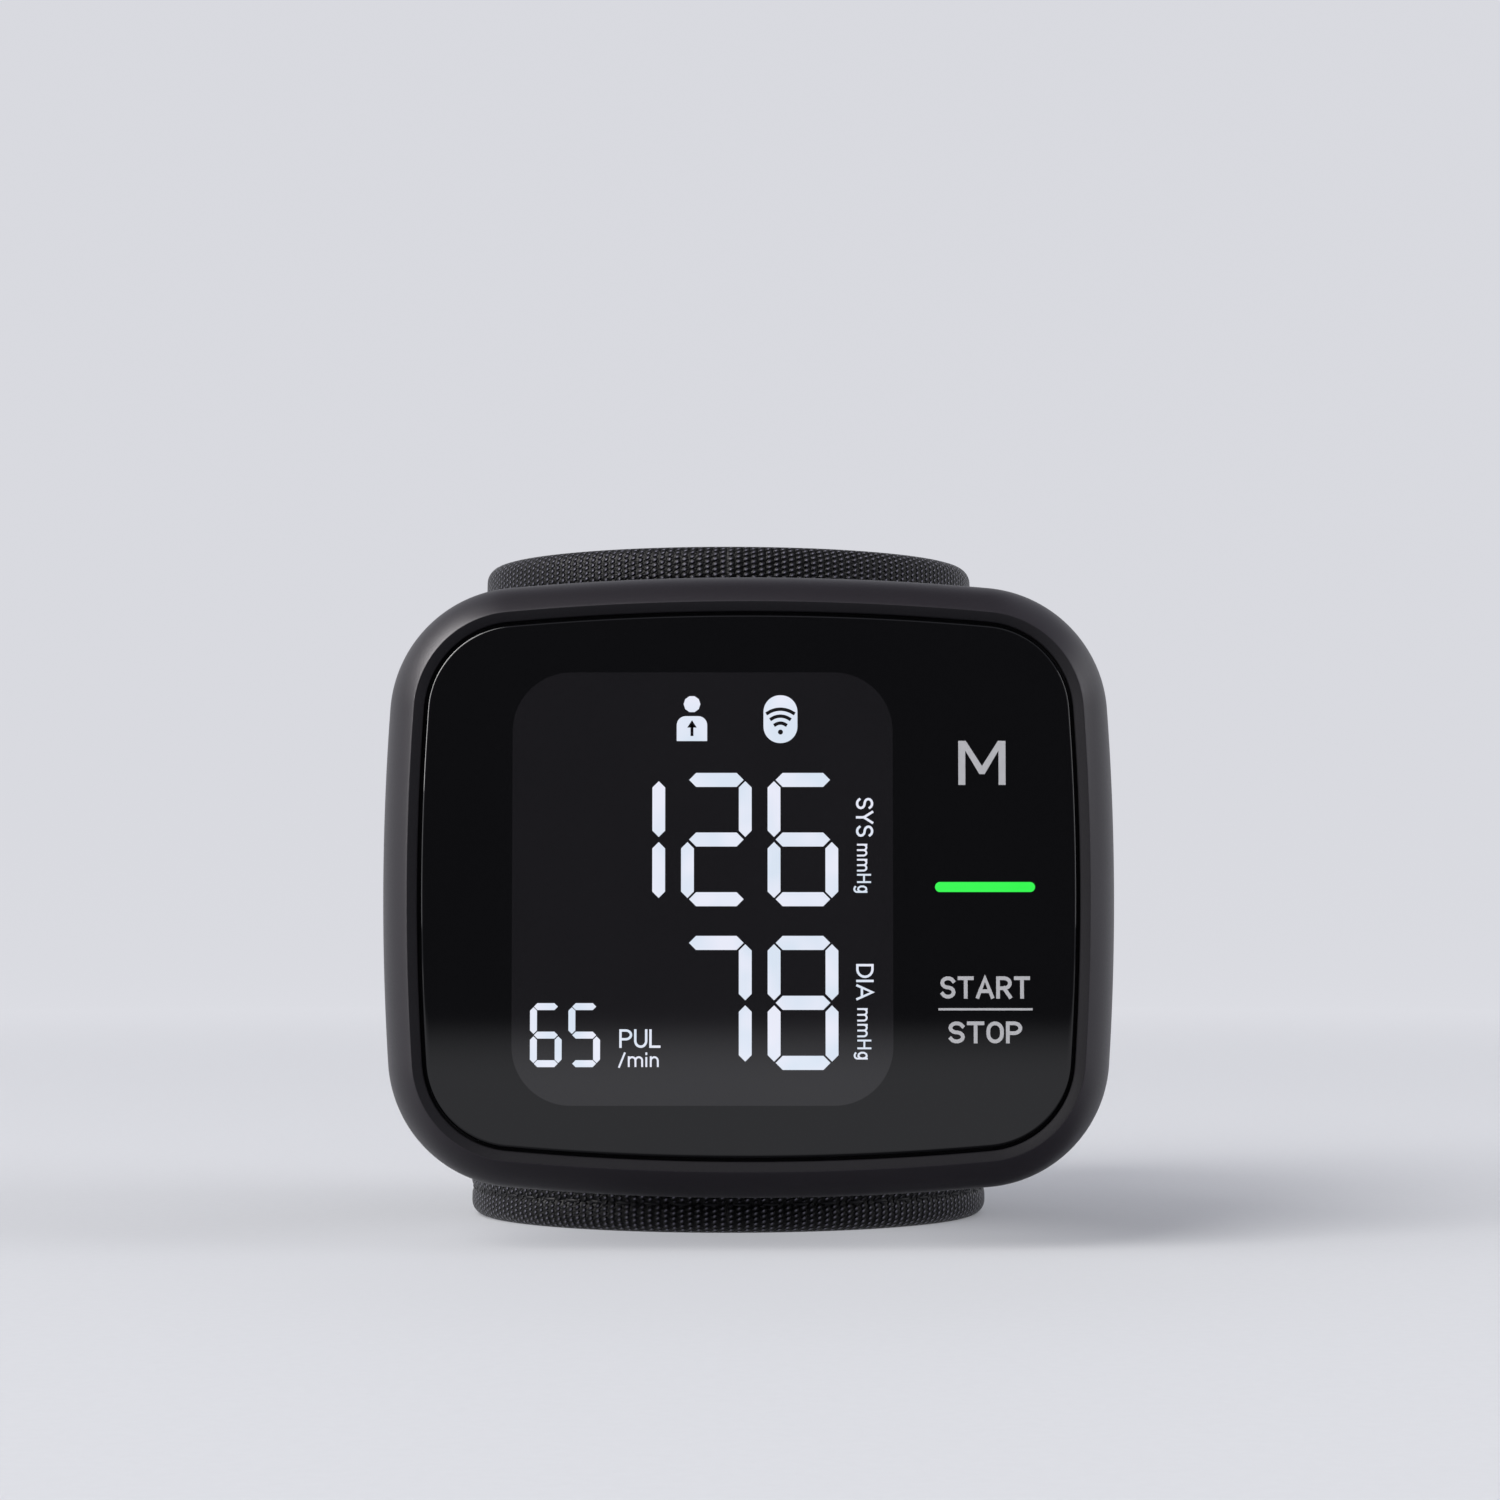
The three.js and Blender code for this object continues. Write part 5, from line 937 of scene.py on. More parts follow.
def band_section(outer, inner, low, high, corner, rows):
    """A closed section of a band: distances in from the cuff's outside, and heights."""
    heights = np.linspace(low + corner, high - corner, rows + 1)
    loop = rounded(outer + corner, low + corner, corner, math.pi, 3)
    loop += rounded(inner - corner, low + corner, corner, 1.5 * math.pi, 3)
    loop += [(inner, z) for z in heights[1:-1]]
    loop += rounded(inner - corner, high - corner, corner, 0, 3)
    loop += rounded(outer + corner, high - corner, corner, math.pi / 2, 3)
    loop += [(outer, z) for z in heights[-2::-1]]
    return np.array(loop)


def band_place(side, section, last, shape):
    """Lays a section round one half of the cuff to an angle, with its distances inwards shaped."""
    def place(across, along):
        inwards, z = section[nearest(along, len(section))].T
        return cuff_point(side * across * last, shape(across * last, inwards, z), z)
    return place


def plain(angle, inwards, z):
    return inwards


def pillow(angle, inwards, z):
    """The bladder is thin along its weld and full away from it."""
    to_end = np.radians(CORE_END - angle) * CUFF_RADIUS
    to_edge = np.minimum(np.minimum(z - CORE_LOW, CORE_HIGH - z), to_end)
    full = np.clip((to_edge - WELD) / WELD, 0, 1)
    middle = (BLADDER_OUTER + BLADDER_INNER) / 2
    thin = WELD_THICKNESS / (BLADDER_INNER - BLADDER_OUTER)
    return middle + (inwards - middle) * (thin + (1 - thin) * np.sqrt(1 - (1 - full) ** 2))


curl_section = band_section(CURL_OUTER, CURL_INNER, CORE_LOW, CORE_HIGH, CURL_EDGE, CURL_ROWS)
bladder_section = band_section(
    BLADDER_OUTER, BLADDER_INNER, CORE_LOW, CORE_HIGH, BLADDER_EDGE, BLADDER_ROWS)
# Natural polypropylene: milky and waxy. TPU film: a milky grey, glossier where it is drawn thin.
curl_sheet = mottled("natural_polypropylene_sheet", "#c9cac6", "#d9dad6", 2.5, 0.45)
bladder_film = mottled("welded_tpu_film", "#8d9098", "#a2a5ad", 1.11, (0.3, 0.5))
for side, hand in HANDS:
    for name, section, shape, material, slot, layer in (
            ("curl_sheet_", curl_section, plain, curl_sheet, "inner_plastic", "cuff_curl"),
            ("bladder_", bladder_section, pillow, bladder_film, "bladder", "air_bladder")):
        piece = formed_grid(name + hand, CORE_COLUMNS, len(section) - 1,
                            band_place(side, section, CORE_END, shape))
        close_ends(piece)
        bend_with_wing(piece)
        dress(piece, material, None)
        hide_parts(*half_nodes(layer, side))

# Cuff lining: a soft charcoal warp knit against the wrist. It is cut to the cuff's shape and sewn
# into the turned edges of the cover, a little slack between them.
LINING_OUTER, LINING_END = 5.3, 177.3
LINING_EDGE, LINING_GAP, LINING_ROWS, LINING_COLUMNS = 0.4, 0.3, 40, 150
LONG_WAVE, LONG_WAVES = 0.12, 13
SHORT_WAVE, SHORT_WAVES, SHORT_RISE = 0.05, 29, 7
KNIT_WIDTH, KNIT_HEIGHT, KNIT_GAP, NAP = 0.9, 0.7, 0.16, 0.455

# Warp knit: small charcoal loops with dark gaps, under a soft nap that dulls every highlight
lining_knit, tree, surface, where = new_material("charcoal_warp_knit")
loops = add_node(tree, "ShaderNodeTexBrick", {
    "Vector": where.outputs["UV"], "Scale": 1.0, "Brick Width": KNIT_WIDTH,
    "Row Height": KNIT_HEIGHT, "Mortar Size": KNIT_GAP, "Mortar Smooth": 1.0,
    "Mortar": hex_linear("#101012"), "Color1": hex_linear("#232327"),
    "Color2": hex_linear("#2c2c31")})
nap = add_node(tree, "ShaderNodeTexNoise", {
    "Vector": where.outputs["UV"], "Scale": 1 / NAP, "Detail": 4.0})
knit = add_node(tree, "ShaderNodeMix", {
    "Factor": nap, MIX_A: loops.outputs["Color"], MIX_B: hex_linear("#36363c")},
    data_type="RGBA", blend_type="SOFT_LIGHT")
raised = add_node(tree, "ShaderNodeMath", {0: nap, 1: 0.6, 2: loops.outputs["Fac"]},
                  operation="SUBTRACT")
relief = add_node(tree, "ShaderNodeBump", {"Height": raised, "Strength": 0.6, "Distance": 0.2 * MM})
set_inputs(surface, {"Base Color": knit, "Normal": relief, "Roughness": 0.85, "Sheen Weight": 0.3})


def eased(angle, inwards, z):
    """The lining's face stands a little slack, in low waves that die out at both edges."""
    face = inwards > CUFF_THICKNESS - SAME_PLACE
    turn = np.radians(angle)
    waves = LONG_WAVE * np.cos(turn * LONG_WAVES)
    waves += SHORT_WAVE * np.cos(turn * SHORT_WAVES) * np.sin(z / SHORT_RISE)
    return inwards + np.where(face, waves * (1 - (2 * z / CUFF_HEIGHT - 1) ** 2), 0.0)


lining_section = band_section(LINING_OUTER, CUFF_THICKNESS, HEM + LINING_GAP,
                              CUFF_HEIGHT - HEM - LINING_GAP, LINING_EDGE, LINING_ROWS)
for side, hand in HANDS:
    lining = formed_grid("lining_cloth_" + hand, LINING_COLUMNS, len(lining_section) - 1,
                         band_place(side, lining_section, LINING_END, eased),
                         run_along(side, lining_section))
    close_ends(lining)
    bend_with_wing(lining)
    dress(lining, lining_knit, None)
    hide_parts(*half_nodes("cuff_lining", side))

# End bindings: a black grosgrain tape, folded over the raw end of each wing where the two meet at
# the back. One row of stitches goes through both of its sides.
TAPE, TAPE_PLY = 0.24, 0.2
TAPE_FROM, TAPE_TO = 174.4, 178.4
TAPE_ROUND, TAPE_STEPS = 0.7, 6
TAPE_CORNER, TAPE_LEAST_CORNER, TAPE_GAP, TAPE_ROWS = 0.8, 0.05, 0.02, 40
TAPE_EDGE = ((0.28, 0.0), (0.08, 0.05), (0.0, 0.25))
RIB = 0.8

# Grosgrain: fine level ribs, paler on their crests than between them
tape_ribs, tree, surface, where = new_material("black_grosgrain_tape")
rib = add_node(tree, "ShaderNodeTexWave", {
    "Vector": where.outputs["Object"], "Scale": 2 * math.pi / (20 * RIB * MM), "Distortion": 0.4},
    bands_direction="Z")
tone = add_node(tree, "ShaderNodeMix", {
    "Factor": rib.outputs["Fac"], MIX_A: hex_linear("#0c0c0e"), MIX_B: hex_linear("#26262a")},
    data_type="RGBA")
relief = add_node(tree, "ShaderNodeBump", {
    "Height": rib.outputs["Fac"], "Strength": 0.6, "Distance": 0.1 * MM})
set_inputs(surface, {"Base Color": tone, "Normal": relief, "Roughness": 0.6})


def tape_section(shrink):
    corner = max(TAPE_CORNER - shrink, TAPE_LEAST_CORNER)
    return band_section(shrink - TAPE, CUFF_THICKNESS + TAPE - shrink, shrink + TAPE_GAP,
                        CUFF_HEIGHT - TAPE_GAP - shrink, corner, TAPE_ROWS)


turns = np.linspace(0, math.pi / 2, TAPE_STEPS + 1)
shrinks = [shrink for shrink, _ in TAPE_EDGE] + list(TAPE_ROUND * (1 - np.cos(turns)))
tape_angles = [TAPE_FROM + turn for _, turn in TAPE_EDGE]
tape_angles += list(TAPE_TO - np.degrees(TAPE_ROUND * (1 - np.sin(turns)) / CUFF_RADIUS))
tape_angles = np.array(tape_angles + [TAPE_TO])
end_middle = CUFF_THICKNESS / 2
end_line = band_section(
    end_middle, end_middle, end_middle, CUFF_HEIGHT - end_middle, 0.0, TAPE_ROWS)
tape_sections = np.array([tape_section(shrink) for shrink in shrinks] + [end_line])


def tape_place(side):
    def place(across, along):
        column, row = nearest(across, len(tape_angles)), nearest(along, tape_sections.shape[1])
        inwards, z = tape_sections[column, row].T
        return cuff_point(side * tape_angles[column], inwards, z)
    return place


for side, hand in HANDS:
    binding = formed_grid("end_binding_" + hand, len(tape_angles) - 1, tape_sections.shape[1] - 1,
                          tape_place(side))
    thicken(binding, TAPE_PLY)
    dress(binding, tape_ribs, hand + "_wing")

# Closure tab: a tongue of the same nylon, doubled and edge-stitched. Its root is sewn to the left
# wing, and it crosses the gap at the back to grip the right wing.
TAB_OUTER, TAB_INNER = -2.7, -1.3
ROOT_OUTER, ROOT_INNER, ROOT_SLOPE = -1.2, -0.12, 6.0
TAB_HALF, TAB_CORNER, TAB_RADIUS = 29.0, 11.0, 27.4
TAB_ROOT, TAB_END = -152.5, -222.0
TAB_HINGE, TAB_BEND = -178.9, (5, -6)
TAB_EDGE = [(0.2, 1.0), (0.02, 0.985), (0.0, 0.97)]
TAB_FACE, TAB_ROWS, TAB_COLUMNS = 0.95, 61, 130
EDGE_FALL, EDGE_FALL_WIDTH = 0.3, 0.7
TAB_SEAM, TAB_SEAM_DEPTH, TAB_SEAM_WIDTH = 2.6, 0.16, 0.5
END_SHARE, END_THIN = 0.015, 0.3


def tab_reach(angle):
    return np.radians(np.abs(angle - TAB_ROOT)) * TAB_RADIUS


def tab_half(to_end, half, corner):
    short = np.clip(corner - to_end, 0, corner)
    return half - corner + np.sqrt(corner ** 2 - short ** 2)


def tab_outside(angle):
    """How far out the tab's face lies: it rises from its sewn root and then runs level."""
    rise = np.clip(tab_reach(angle) / ROOT_SLOPE, 0, 1)
    return ROOT_OUTER + (TAB_OUTER - ROOT_OUTER) * rise * rise * (3 - 2 * rise)


# The tab's section, as shares of the way through it and of its half height
face_rows = np.linspace(TAB_FACE, -TAB_FACE, TAB_ROWS)
tab_loop = TAB_EDGE + [(0.0, s) for s in face_rows] + [(t, -s) for t, s in reversed(TAB_EDGE)]
tab_loop += [(1 - t, -s) for t, s in TAB_EDGE] + [(1.0, s) for s in reversed(face_rows)]
tab_loop += [(1 - t, s) for t, s in reversed(TAB_EDGE)]
tab_table = np.array(tab_loop + tab_loop[:1])


def tab_place(across, along):
    angle = TAB_ROOT + (TAB_END - TAB_ROOT) * across
    through, share = tab_table[nearest(along, len(tab_table))].T
    to_end = tab_reach(TAB_END) - tab_reach(angle)
    half = tab_half(to_end, TAB_HALF, TAB_CORNER)
    inside = np.minimum(np.minimum((1 - np.abs(share)) * half, to_end), tab_reach(angle))
    edge = EDGE_FALL * np.exp(-(inside / EDGE_FALL_WIDTH) ** 2)
    edge += TAB_SEAM_DEPTH * np.exp(-((inside - TAB_SEAM) / TAB_SEAM_WIDTH) ** 2)
    thin = END_THIN * np.clip(1 - np.minimum(across, 1 - across) / END_SHARE, 0, 1)
    inner = np.where(angle > TAB_HINGE, ROOT_INNER, TAB_INNER) - thin
    outer = tab_outside(angle) + edge + thin
    return cuff_point(angle, outer + (inner - outer) * through, CUFF_HEIGHT / 2 + share * half)


def tab_measure(across, along):
    return tab_reach(TAB_END) * across, TAB_HALF * tab_table[nearest(along, len(tab_table)), 1]


def bend_with_tab(piece):
    """Bakes the piece's placement into its mesh."""
    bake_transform(piece)


tab = formed_grid("closure_tab", TAB_COLUMNS, len(tab_table) - 1, tab_place, tab_measure)
close_ends(tab)
bend_with_tab(tab)
dress(tab, nylon_painted_glints_and_seam_shade, None)
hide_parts("tab_root", "hook_tab")

# Hook patch: nylon hooks moulded in one with a thin base, which is sewn inside the tab's free end.
# Rows of hooks face up and down by turns, and grip the nylon of the right wing.
HOOK_FROM, HOOK_MARGIN = -186.0, 4.0
HOOK_BASE_OUTER, HOOK_BASE_INNER = -1.34, -0.85
HOOK_PITCH, HOOK_FIRST, HOOK_LAST = 1.25, 0.8, 0.6
HOOK_RADIUS, HOOK_SIDES, PATCH_COLUMNS = 0.09, 4, 40
HOOK_PATH = [(0.0, -0.05), (0.0, 0.2), (0.05, 0.36), (0.16, 0.44), (0.27, 0.4), (0.3, 0.3)]

# Moulded nylon: black with a dull gloss and faint flow marks
hook_nylon = mottled("moulded_hook_nylon", "#131315", "#222226", 0.667, 0.42, detail=2.0)
hook_reach = tab_reach(TAB_END) - tab_reach(HOOK_FROM) - HOOK_MARGIN


def patch_half(to_end):
    return tab_half(to_end, TAB_HALF - HOOK_MARGIN, TAB_CORNER - HOOK_MARGIN)


def patch_place(across, along):
    angle = HOOK_FROM - np.degrees(hook_reach / TAB_RADIUS) * across
    through, share = tab_table[nearest(along, len(tab_table))].T
    half = patch_half(hook_reach * (1 - across))
    inwards = HOOK_BASE_OUTER + (HOOK_BASE_INNER - HOOK_BASE_OUTER) * through
    return cuff_point(angle, inwards, CUFF_HEIGHT / 2 + share * half)


def cuff_frame(angle, inwards, z, heading=0.0):
    """A frame on the cuff in metres: x along a heading from level, z outwards."""
    spot, level, rise = (np.array(cuff_point(angle + a, inwards, z + b))
                         for a, b in ((0, 0), (0.01, 0), (0, 0.01)))
    level = (level - spot) / np.linalg.norm(level - spot)
    rise = (rise - spot) / np.linalg.norm(rise - spot)
    ahead = level * math.cos(heading) + rise * math.sin(heading)
    out = np.cross(level, rise)
    axes = np.column_stack([ahead, np.cross(out, ahead), out, spot * MM])
    return Matrix([*axes.tolist(), [0, 0, 0, 1]])


def copies(name, first, frames):
    """A small piece copied into each frame, each copy with its own mesh, and joined as one."""
    made = []
    for place in frames:
        copy = first.copy()
        copy.data = first.data.copy()
        copy.data.transform(place)
        bpy.context.scene.collection.objects.link(copy)
        made.append(copy)
    bpy.data.objects.remove(first, do_unlink=True)
    return join(name, made)


def hook_tube(across, along):
    line = np.array(HOOK_PATH)
    way = np.gradient(line, axis=0)
    way /= np.linalg.norm(way, axis=1)[:, None]
    index = nearest(along, len(line))
    turn = across * 2 * math.pi
    aside = HOOK_RADIUS * np.cos(turn)
    ahead, rise = line[index].T
    return ahead - way[index, 1] * aside, HOOK_RADIUS * np.sin(turn), -rise - way[index, 0] * aside


patch = formed_grid("hook_patch", PATCH_COLUMNS, len(tab_table) - 1, patch_place)
close_ends(patch)
dress(patch, hook_nylon, "closure")
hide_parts("hook_strip")
hook = formed_grid("hook", HOOK_SIDES, len(HOOK_PATH) - 1, hook_tube)
close_ends(hook)
frames = []
for column, reach in enumerate(np.arange(HOOK_FIRST, hook_reach - HOOK_LAST, HOOK_PITCH)):
    half = float(patch_half(hook_reach - reach)) - HOOK_FIRST
    angle = HOOK_FROM - math.degrees(reach / TAB_RADIUS)
    heading = math.pi / 2 if column % 2 else -math.pi / 2
    for z in np.arange(-half, half, HOOK_PITCH):
        frames.append(cuff_frame(angle, HOOK_BASE_INNER, CUFF_HEIGHT / 2 + z, heading))
hooks = copies("hooks", hook, frames)
dress(hooks, hook_nylon, "closure")

# Stitches: black polyester lockstitch along the turned edges of the cover, the tapes and the tab.
# Each one is a short thread that dives into the cloth at both ends.
STITCH, STITCH_PITCH = 2.2, 3.0
STITCH_WIDTH, STITCH_HEIGHT, STITCH_DIVE = 0.4, 0.3, 0.7
EDGE_SINK, TAPE_RISE, TAB_SINK = 0.2, 0.02, 0.1
TAPE_SEAM, TAPE_MARGIN, ROOT_SEAM = 1.0, 2.0, 6.0
STITCH_SIDES = 8

# Twisted thread: black, with a broken gloss where its plies turn
thread_twist = mottled("black_polyester_thread", "#0c0c0e", "#1c1c20", 0.25, 0.5,
                       {"Specular IOR Level": 0.15}, 2.0, relief=(0.5, 0.05))


def one_stitch():
    bpy.ops.object.select_all(action="DESELECT")
    bpy.ops.mesh.primitive_uv_sphere_add(
        segments=STITCH_SIDES, ring_count=STITCH_SIDES, radius=0.5, rotation=(0, math.pi / 2, 0))
    stitch = bpy.context.object
    bpy.ops.object.transform_apply(location=True, rotation=True, scale=True)
    for vertex in stitch.data.vertices:
        x, y, z = vertex.co
        rise = z * STITCH_HEIGHT - STITCH_DIVE * x * x
        vertex.co = (x * STITCH * MM, y * STITCH_WIDTH * MM, rise * MM)
    bpy.ops.object.shade_smooth()
    return stitch


def seam_steps(length):
    return (np.arange(int(length / STITCH_PITCH)) + 0.5) * STITCH_PITCH


for side, hand in HANDS:
    frames = []
    for z in (FOOT_STITCH, CUFF_HEIGHT - TOP_STITCH):
        for run in seam_steps(HALF_GIRTH * TAPE_FROM / 180):
            frames.append(cuff_frame(side * run / HALF_GIRTH * 180, EDGE_SINK, z))
    edge_stitches = copies("edge_stitches_" + hand, one_stitch(), frames)
    bend_with_wing(edge_stitches)
    dress(edge_stitches, thread_twist, None)
    angle = side * (TAPE_FROM + TAPE_SEAM)
    frames = [cuff_frame(angle, -TAPE - TAPE_RISE, TAPE_MARGIN + z, math.pi / 2)
              for z in seam_steps(CUFF_HEIGHT - 2 * TAPE_MARGIN)]
    tape_stitches = copies("tape_stitches_" + hand, one_stitch(), frames)
    dress(tape_stitches, thread_twist, hand + "_wing")

tab_length, seam_half = tab_reach(TAB_END) - TAB_SEAM, TAB_HALF - TAB_SEAM
seam_corner = TAB_CORNER - TAB_SEAM
straight = tab_length - seam_corner - TAB_SEAM
arc = seam_corner * math.pi / 2
end_run = 2 * (seam_half - seam_corner)


def tab_seam(run):
    """A place on the tab's edge seam, from the root round the end: reach, height and heading."""
    for sign, start in ((-1, 0.0), (1, straight + 2 * arc + end_run)):
        if start <= run < start + straight:
            reach = run - start if sign < 0 else straight - (run - start)
            return TAB_SEAM + reach, sign * seam_half, 0.0
    run -= straight
    if arc <= run < arc + end_run:
        return tab_length, run - arc - seam_half + seam_corner, -math.pi / 2
    turn = run / seam_corner if run < arc else (run - end_run) / seam_corner
    lift = (seam_half - seam_corner) * (-1 if run < arc else 1)
    reach = tab_length - seam_corner + seam_corner * math.sin(turn)
    return reach, lift - seam_corner * math.cos(turn), -turn


spots = [tab_seam(run) for run in seam_steps(2 * straight + 2 * arc + end_run)]
for reach in (TAB_SEAM, TAB_SEAM + ROOT_SEAM):
    spots += [(reach, z - seam_half, math.pi / 2) for z in seam_steps(2 * seam_half)]
frames = []
for reach, z, heading in spots:
    angle = TAB_ROOT - math.degrees(reach / TAB_RADIUS)
    inwards = float(tab_outside(angle)) + TAB_SINK
    frames.append(cuff_frame(angle, inwards, CUFF_HEIGHT / 2 + z, heading))
tab_stitches = copies("tab_stitches", one_stitch(), frames)
bend_with_tab(tab_stitches)
dress(tab_stitches, thread_twist, None)

# Return spring: four turns of hard-drawn stainless wire between the valve's yoke and its plunger.
# It is fixed at both ends, so it stretches with the plunger's stroke.
SPRING_WIRE, SPRING_SIDES = 0.3, 8
SPRING_TURNS, SPRING_STEPS = 4, 16

low, high = (np.array(c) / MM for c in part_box("valve_spring"))
middle = (low + high) / 2


def spring_place(across, along):
    about, turn = 2 * math.pi * across, 2 * math.pi * SPRING_TURNS * along
    out = (high[0] - low[0] - SPRING_WIRE + SPRING_WIRE * np.cos(about)) / 2
    rise = low[2] + SPRING_WIRE / 2 + (high[2] - low[2] - SPRING_WIRE) * along
    z = rise + SPRING_WIRE / 2 * np.sin(about)
    return middle[0] + out * np.cos(turn), middle[1] + out * np.sin(turn), z


return_spring = formed_grid(
    "return_spring", SPRING_SIDES, SPRING_TURNS * SPRING_STEPS, spring_place)
close_ends(return_spring)
# Drawn wire: grey metal with a fine streak from the die
spring_wire = mottled("drawn_stainless_wire", "#8e9092", "#a9abad", 0.2, (0.25, 0.4),
                      {"Metallic": 1.0})
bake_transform(return_spring)
dress(return_spring, spring_wire, None)
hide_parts("valve_spring")

# Inside the case: the display, board, battery, pump, valve and air lines keep their solid shapes.
# Each finish below is a mottled tone and gloss at the grain of that material, in millimetres.
FINISHES = (
    ("black_foam_tape", "#111113", "#1d1d20", 0.4, (0.8, 0.95), 0.0, ["lens_tape", "battery_pad"]),
    ("display_glass", "#0c0e12", "#14171d", 6.0, (0.05, 0.12), 0.0, ["display_module"]),
    ("clear_acrylic_guide", "#c8d2cc", "#dbe4de", 3.0, (0.08, 0.2), 0.0, ["light_guide"]),
    ("led_ceramic", "#d8d4c2", "#ece8d8", 0.3, (0.35, 0.5), 0.0, ["status_led"]),
    ("copper_on_film", "#a8683c", "#c08050", 1.5, (0.3, 0.45), 1.0, [
        "memory_touch_pad", "start_touch_pad"]),
    ("green_solder_mask", "#123a22", "#1c4c2e", 1.2, (0.3, 0.5), 0.0, ["main_board"]),
    ("chip_epoxy", "#151517", "#222225", 0.2, (0.5, 0.65), 0.0, [
        "controller_chip", "pressure_sensor"]),
    ("tinned_shield", "#a8aaab", "#bcbebf", 0.8, (0.25, 0.4), 1.0, ["radio_module"]),
    ("drawn_steel", "#8e9092", "#a6a8aa", 0.5, (0.25, 0.4), 1.0, [
        "usb_socket", "pump_motor", "motor_rotor", "valve_yoke", "valve_plunger",
        "board_screw_1", "board_screw_2", "cuff_screw_1", "cuff_screw_2"]),
    ("pouch_foil", "#9fa2a6", "#b8bbbf", 2.0, (0.3, 0.45), 1.0, ["battery"]),
    ("white_acetal", "#d2d2cc", "#e4e4de", 1.0, (0.4, 0.55), 0.0, [
        "pump_housing", "pump_crank", "pump_cap"]),
    ("black_rubber", "#161618", "#232326", 0.6, (0.65, 0.8), 0.0, [
        "pump_sleeve", "pump_diaphragm"]),
    ("glass_filled_nylon", "#2a2b2e", "#3a3b3f", 0.5, (0.5, 0.65), 0.0, [
        "air_manifold", "air_nipple"]),
    ("silicone_tube", "#b9bcbd", "#cbcecf", 1.5, (0.35, 0.5), 0.0, [
        "pump_tube", "sensor_tube", "valve_tube", "cuff_tube", "valve_seat"]),
    ("enamelled_copper_wire", "#8a4a26", "#a8623a", 0.25, (0.3, 0.45), 1.0, ["valve_coil"]),
)

for name, dark, pale, grain, gloss, metal, nodes in FINISHES:
    finish = mottled(name, dark, pale, grain, gloss, {"Metallic": metal})
    for node in nodes:
        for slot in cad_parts[node].material_slots:
            slot.material = finish

# Studio: a round pale paper floor that sweeps up into a wall, under a soft key from the left with
# fills and glints, and with a painted pool of light on it in front of the foot. A dark card in
# front and a black flag overhead show only in reflections, so the upper lens and the bezel's crest
# stay dark.
FLOOR_RADIUS, WALL_BEND = 900.0, 900.0
FLOOR_ROWS, FLOOR_COLUMNS, BACK_COLUMNS, FRONT_COLUMNS, FRONT_BEARING = 24, 72, 44, 28, 110
FLOOR_GLOW_FROM, FLOOR_GLOW_TO = 0.22, 0.9
PAINTED_POOL, PAINTED_POOL_SPOT = 0.55, (-0.008, -0.036, 0.0)
PAINTED_POOL_CORE, PAINTED_POOL_EDGE = 0.022, 0.062
FIBRE = 1.11
CARD_START, CARD_SHADE_SPOT = -20.0, (0.015, -0.03, 0.0)
CARD_SHADE_CORE, CARD_SHADE_EDGE = 0.022, 0.085
CARD_FROM, CARD_TO, CARD_RISE = -360.0, -820.0, 540.0
CARD_WIDTH, CARD_LEVEL, CARD_ROWS = 900.0, 1.0, 100
FLAG_LOW, FLAG_HIGH, FLAG_LEVEL = (-180.0, -280.0), (190.0, 600.0), 600.0


def sweep_place(first, last, start, end):
    """A part of the sweep, between two bearings from straight behind and two lengths outwards."""
    def place(across, along):
        bearing = np.radians(first + (last - first) * across)
        length = start + (end - start) * along
        turn = np.clip((length - FLOOR_RADIUS) / WALL_BEND, 0, math.pi / 2)
        out = np.minimum(length, FLOOR_RADIUS) + WALL_BEND * np.sin(turn)
        return out * np.sin(bearing), out * np.cos(bearing), WALL_BEND * (1 - np.cos(turn))
    return place


def card_place(across, along):
    """The card lies on the floor towards the camera, and then stands up."""
    flat = CARD_START - CARD_TO
    length = along * (flat + CARD_RISE)
    y, z = CARD_START - np.minimum(length, flat), CARD_LEVEL + np.maximum(length - flat, 0)
    return (across - 0.5) * CARD_WIDTH, y, z


def flag_place(across, along):
    (left, front), (right, back) = FLAG_LOW, FLAG_HIGH
    y = front + (back - front) * along
    return left + (right - left) * across, y, np.full(len(across), FLAG_LEVEL)


# Paper: pale grey and matt. Far from the object it shines as evenly as a lit studio wall, and in
# front of the foot a pool of light is painted into its glow; between them it takes the object's
# shadow.
paper_painted_pool, tree, surface, where = new_material("pale_grey_paper_painted_pool")
away = add_node(tree, "ShaderNodeVectorMath", {0: where.outputs["Object"]}, operation="LENGTH")
far = add_node(tree, "ShaderNodeMapRange", {
    "Value": away, "From Min": FLOOR_GLOW_FROM, "From Max": FLOOR_GLOW_TO},
    interpolation_type="SMOOTHSTEP")
# Painted light: a pool of glow in front of the foot, under the case's front, over the shadow there
off_spot = add_node(tree, "ShaderNodeVectorMath", {
    0: where.outputs["Object"], 1: PAINTED_POOL_SPOT}, operation="DISTANCE")
under = add_node(tree, "ShaderNodeMapRange", {
    "Value": off_spot, "From Min": PAINTED_POOL_EDGE, "From Max": PAINTED_POOL_CORE,
    "To Max": PAINTED_POOL}, interpolation_type="SMOOTHSTEP")
lit = add_node(tree, "ShaderNodeMath", {0: far, 1: under}, operation="MAXIMUM")
glow = add_node(tree, "ShaderNodeMix", {
    "Factor": lit, MIX_A: hex_linear("#3f4043"), MIX_B: hex_linear("#d8d9df")}, data_type="RGBA")
fibre = add_node(tree, "ShaderNodeTexNoise", {
    "Vector": where.outputs["Object"], "Scale": 1 / (FIBRE * MM), "Detail": 2.0})
tint = add_node(tree, "ShaderNodeMix", {
    "Factor": fibre, MIX_A: hex_linear("#d2d3d4"), MIX_B: hex_linear("#d6d7d8")}, data_type="RGBA")
shown = add_node(tree, "ShaderNodeMix", {
    "Factor": lit, MIX_A: tint, MIX_B: hex_linear("#000000")}, data_type="RGBA")
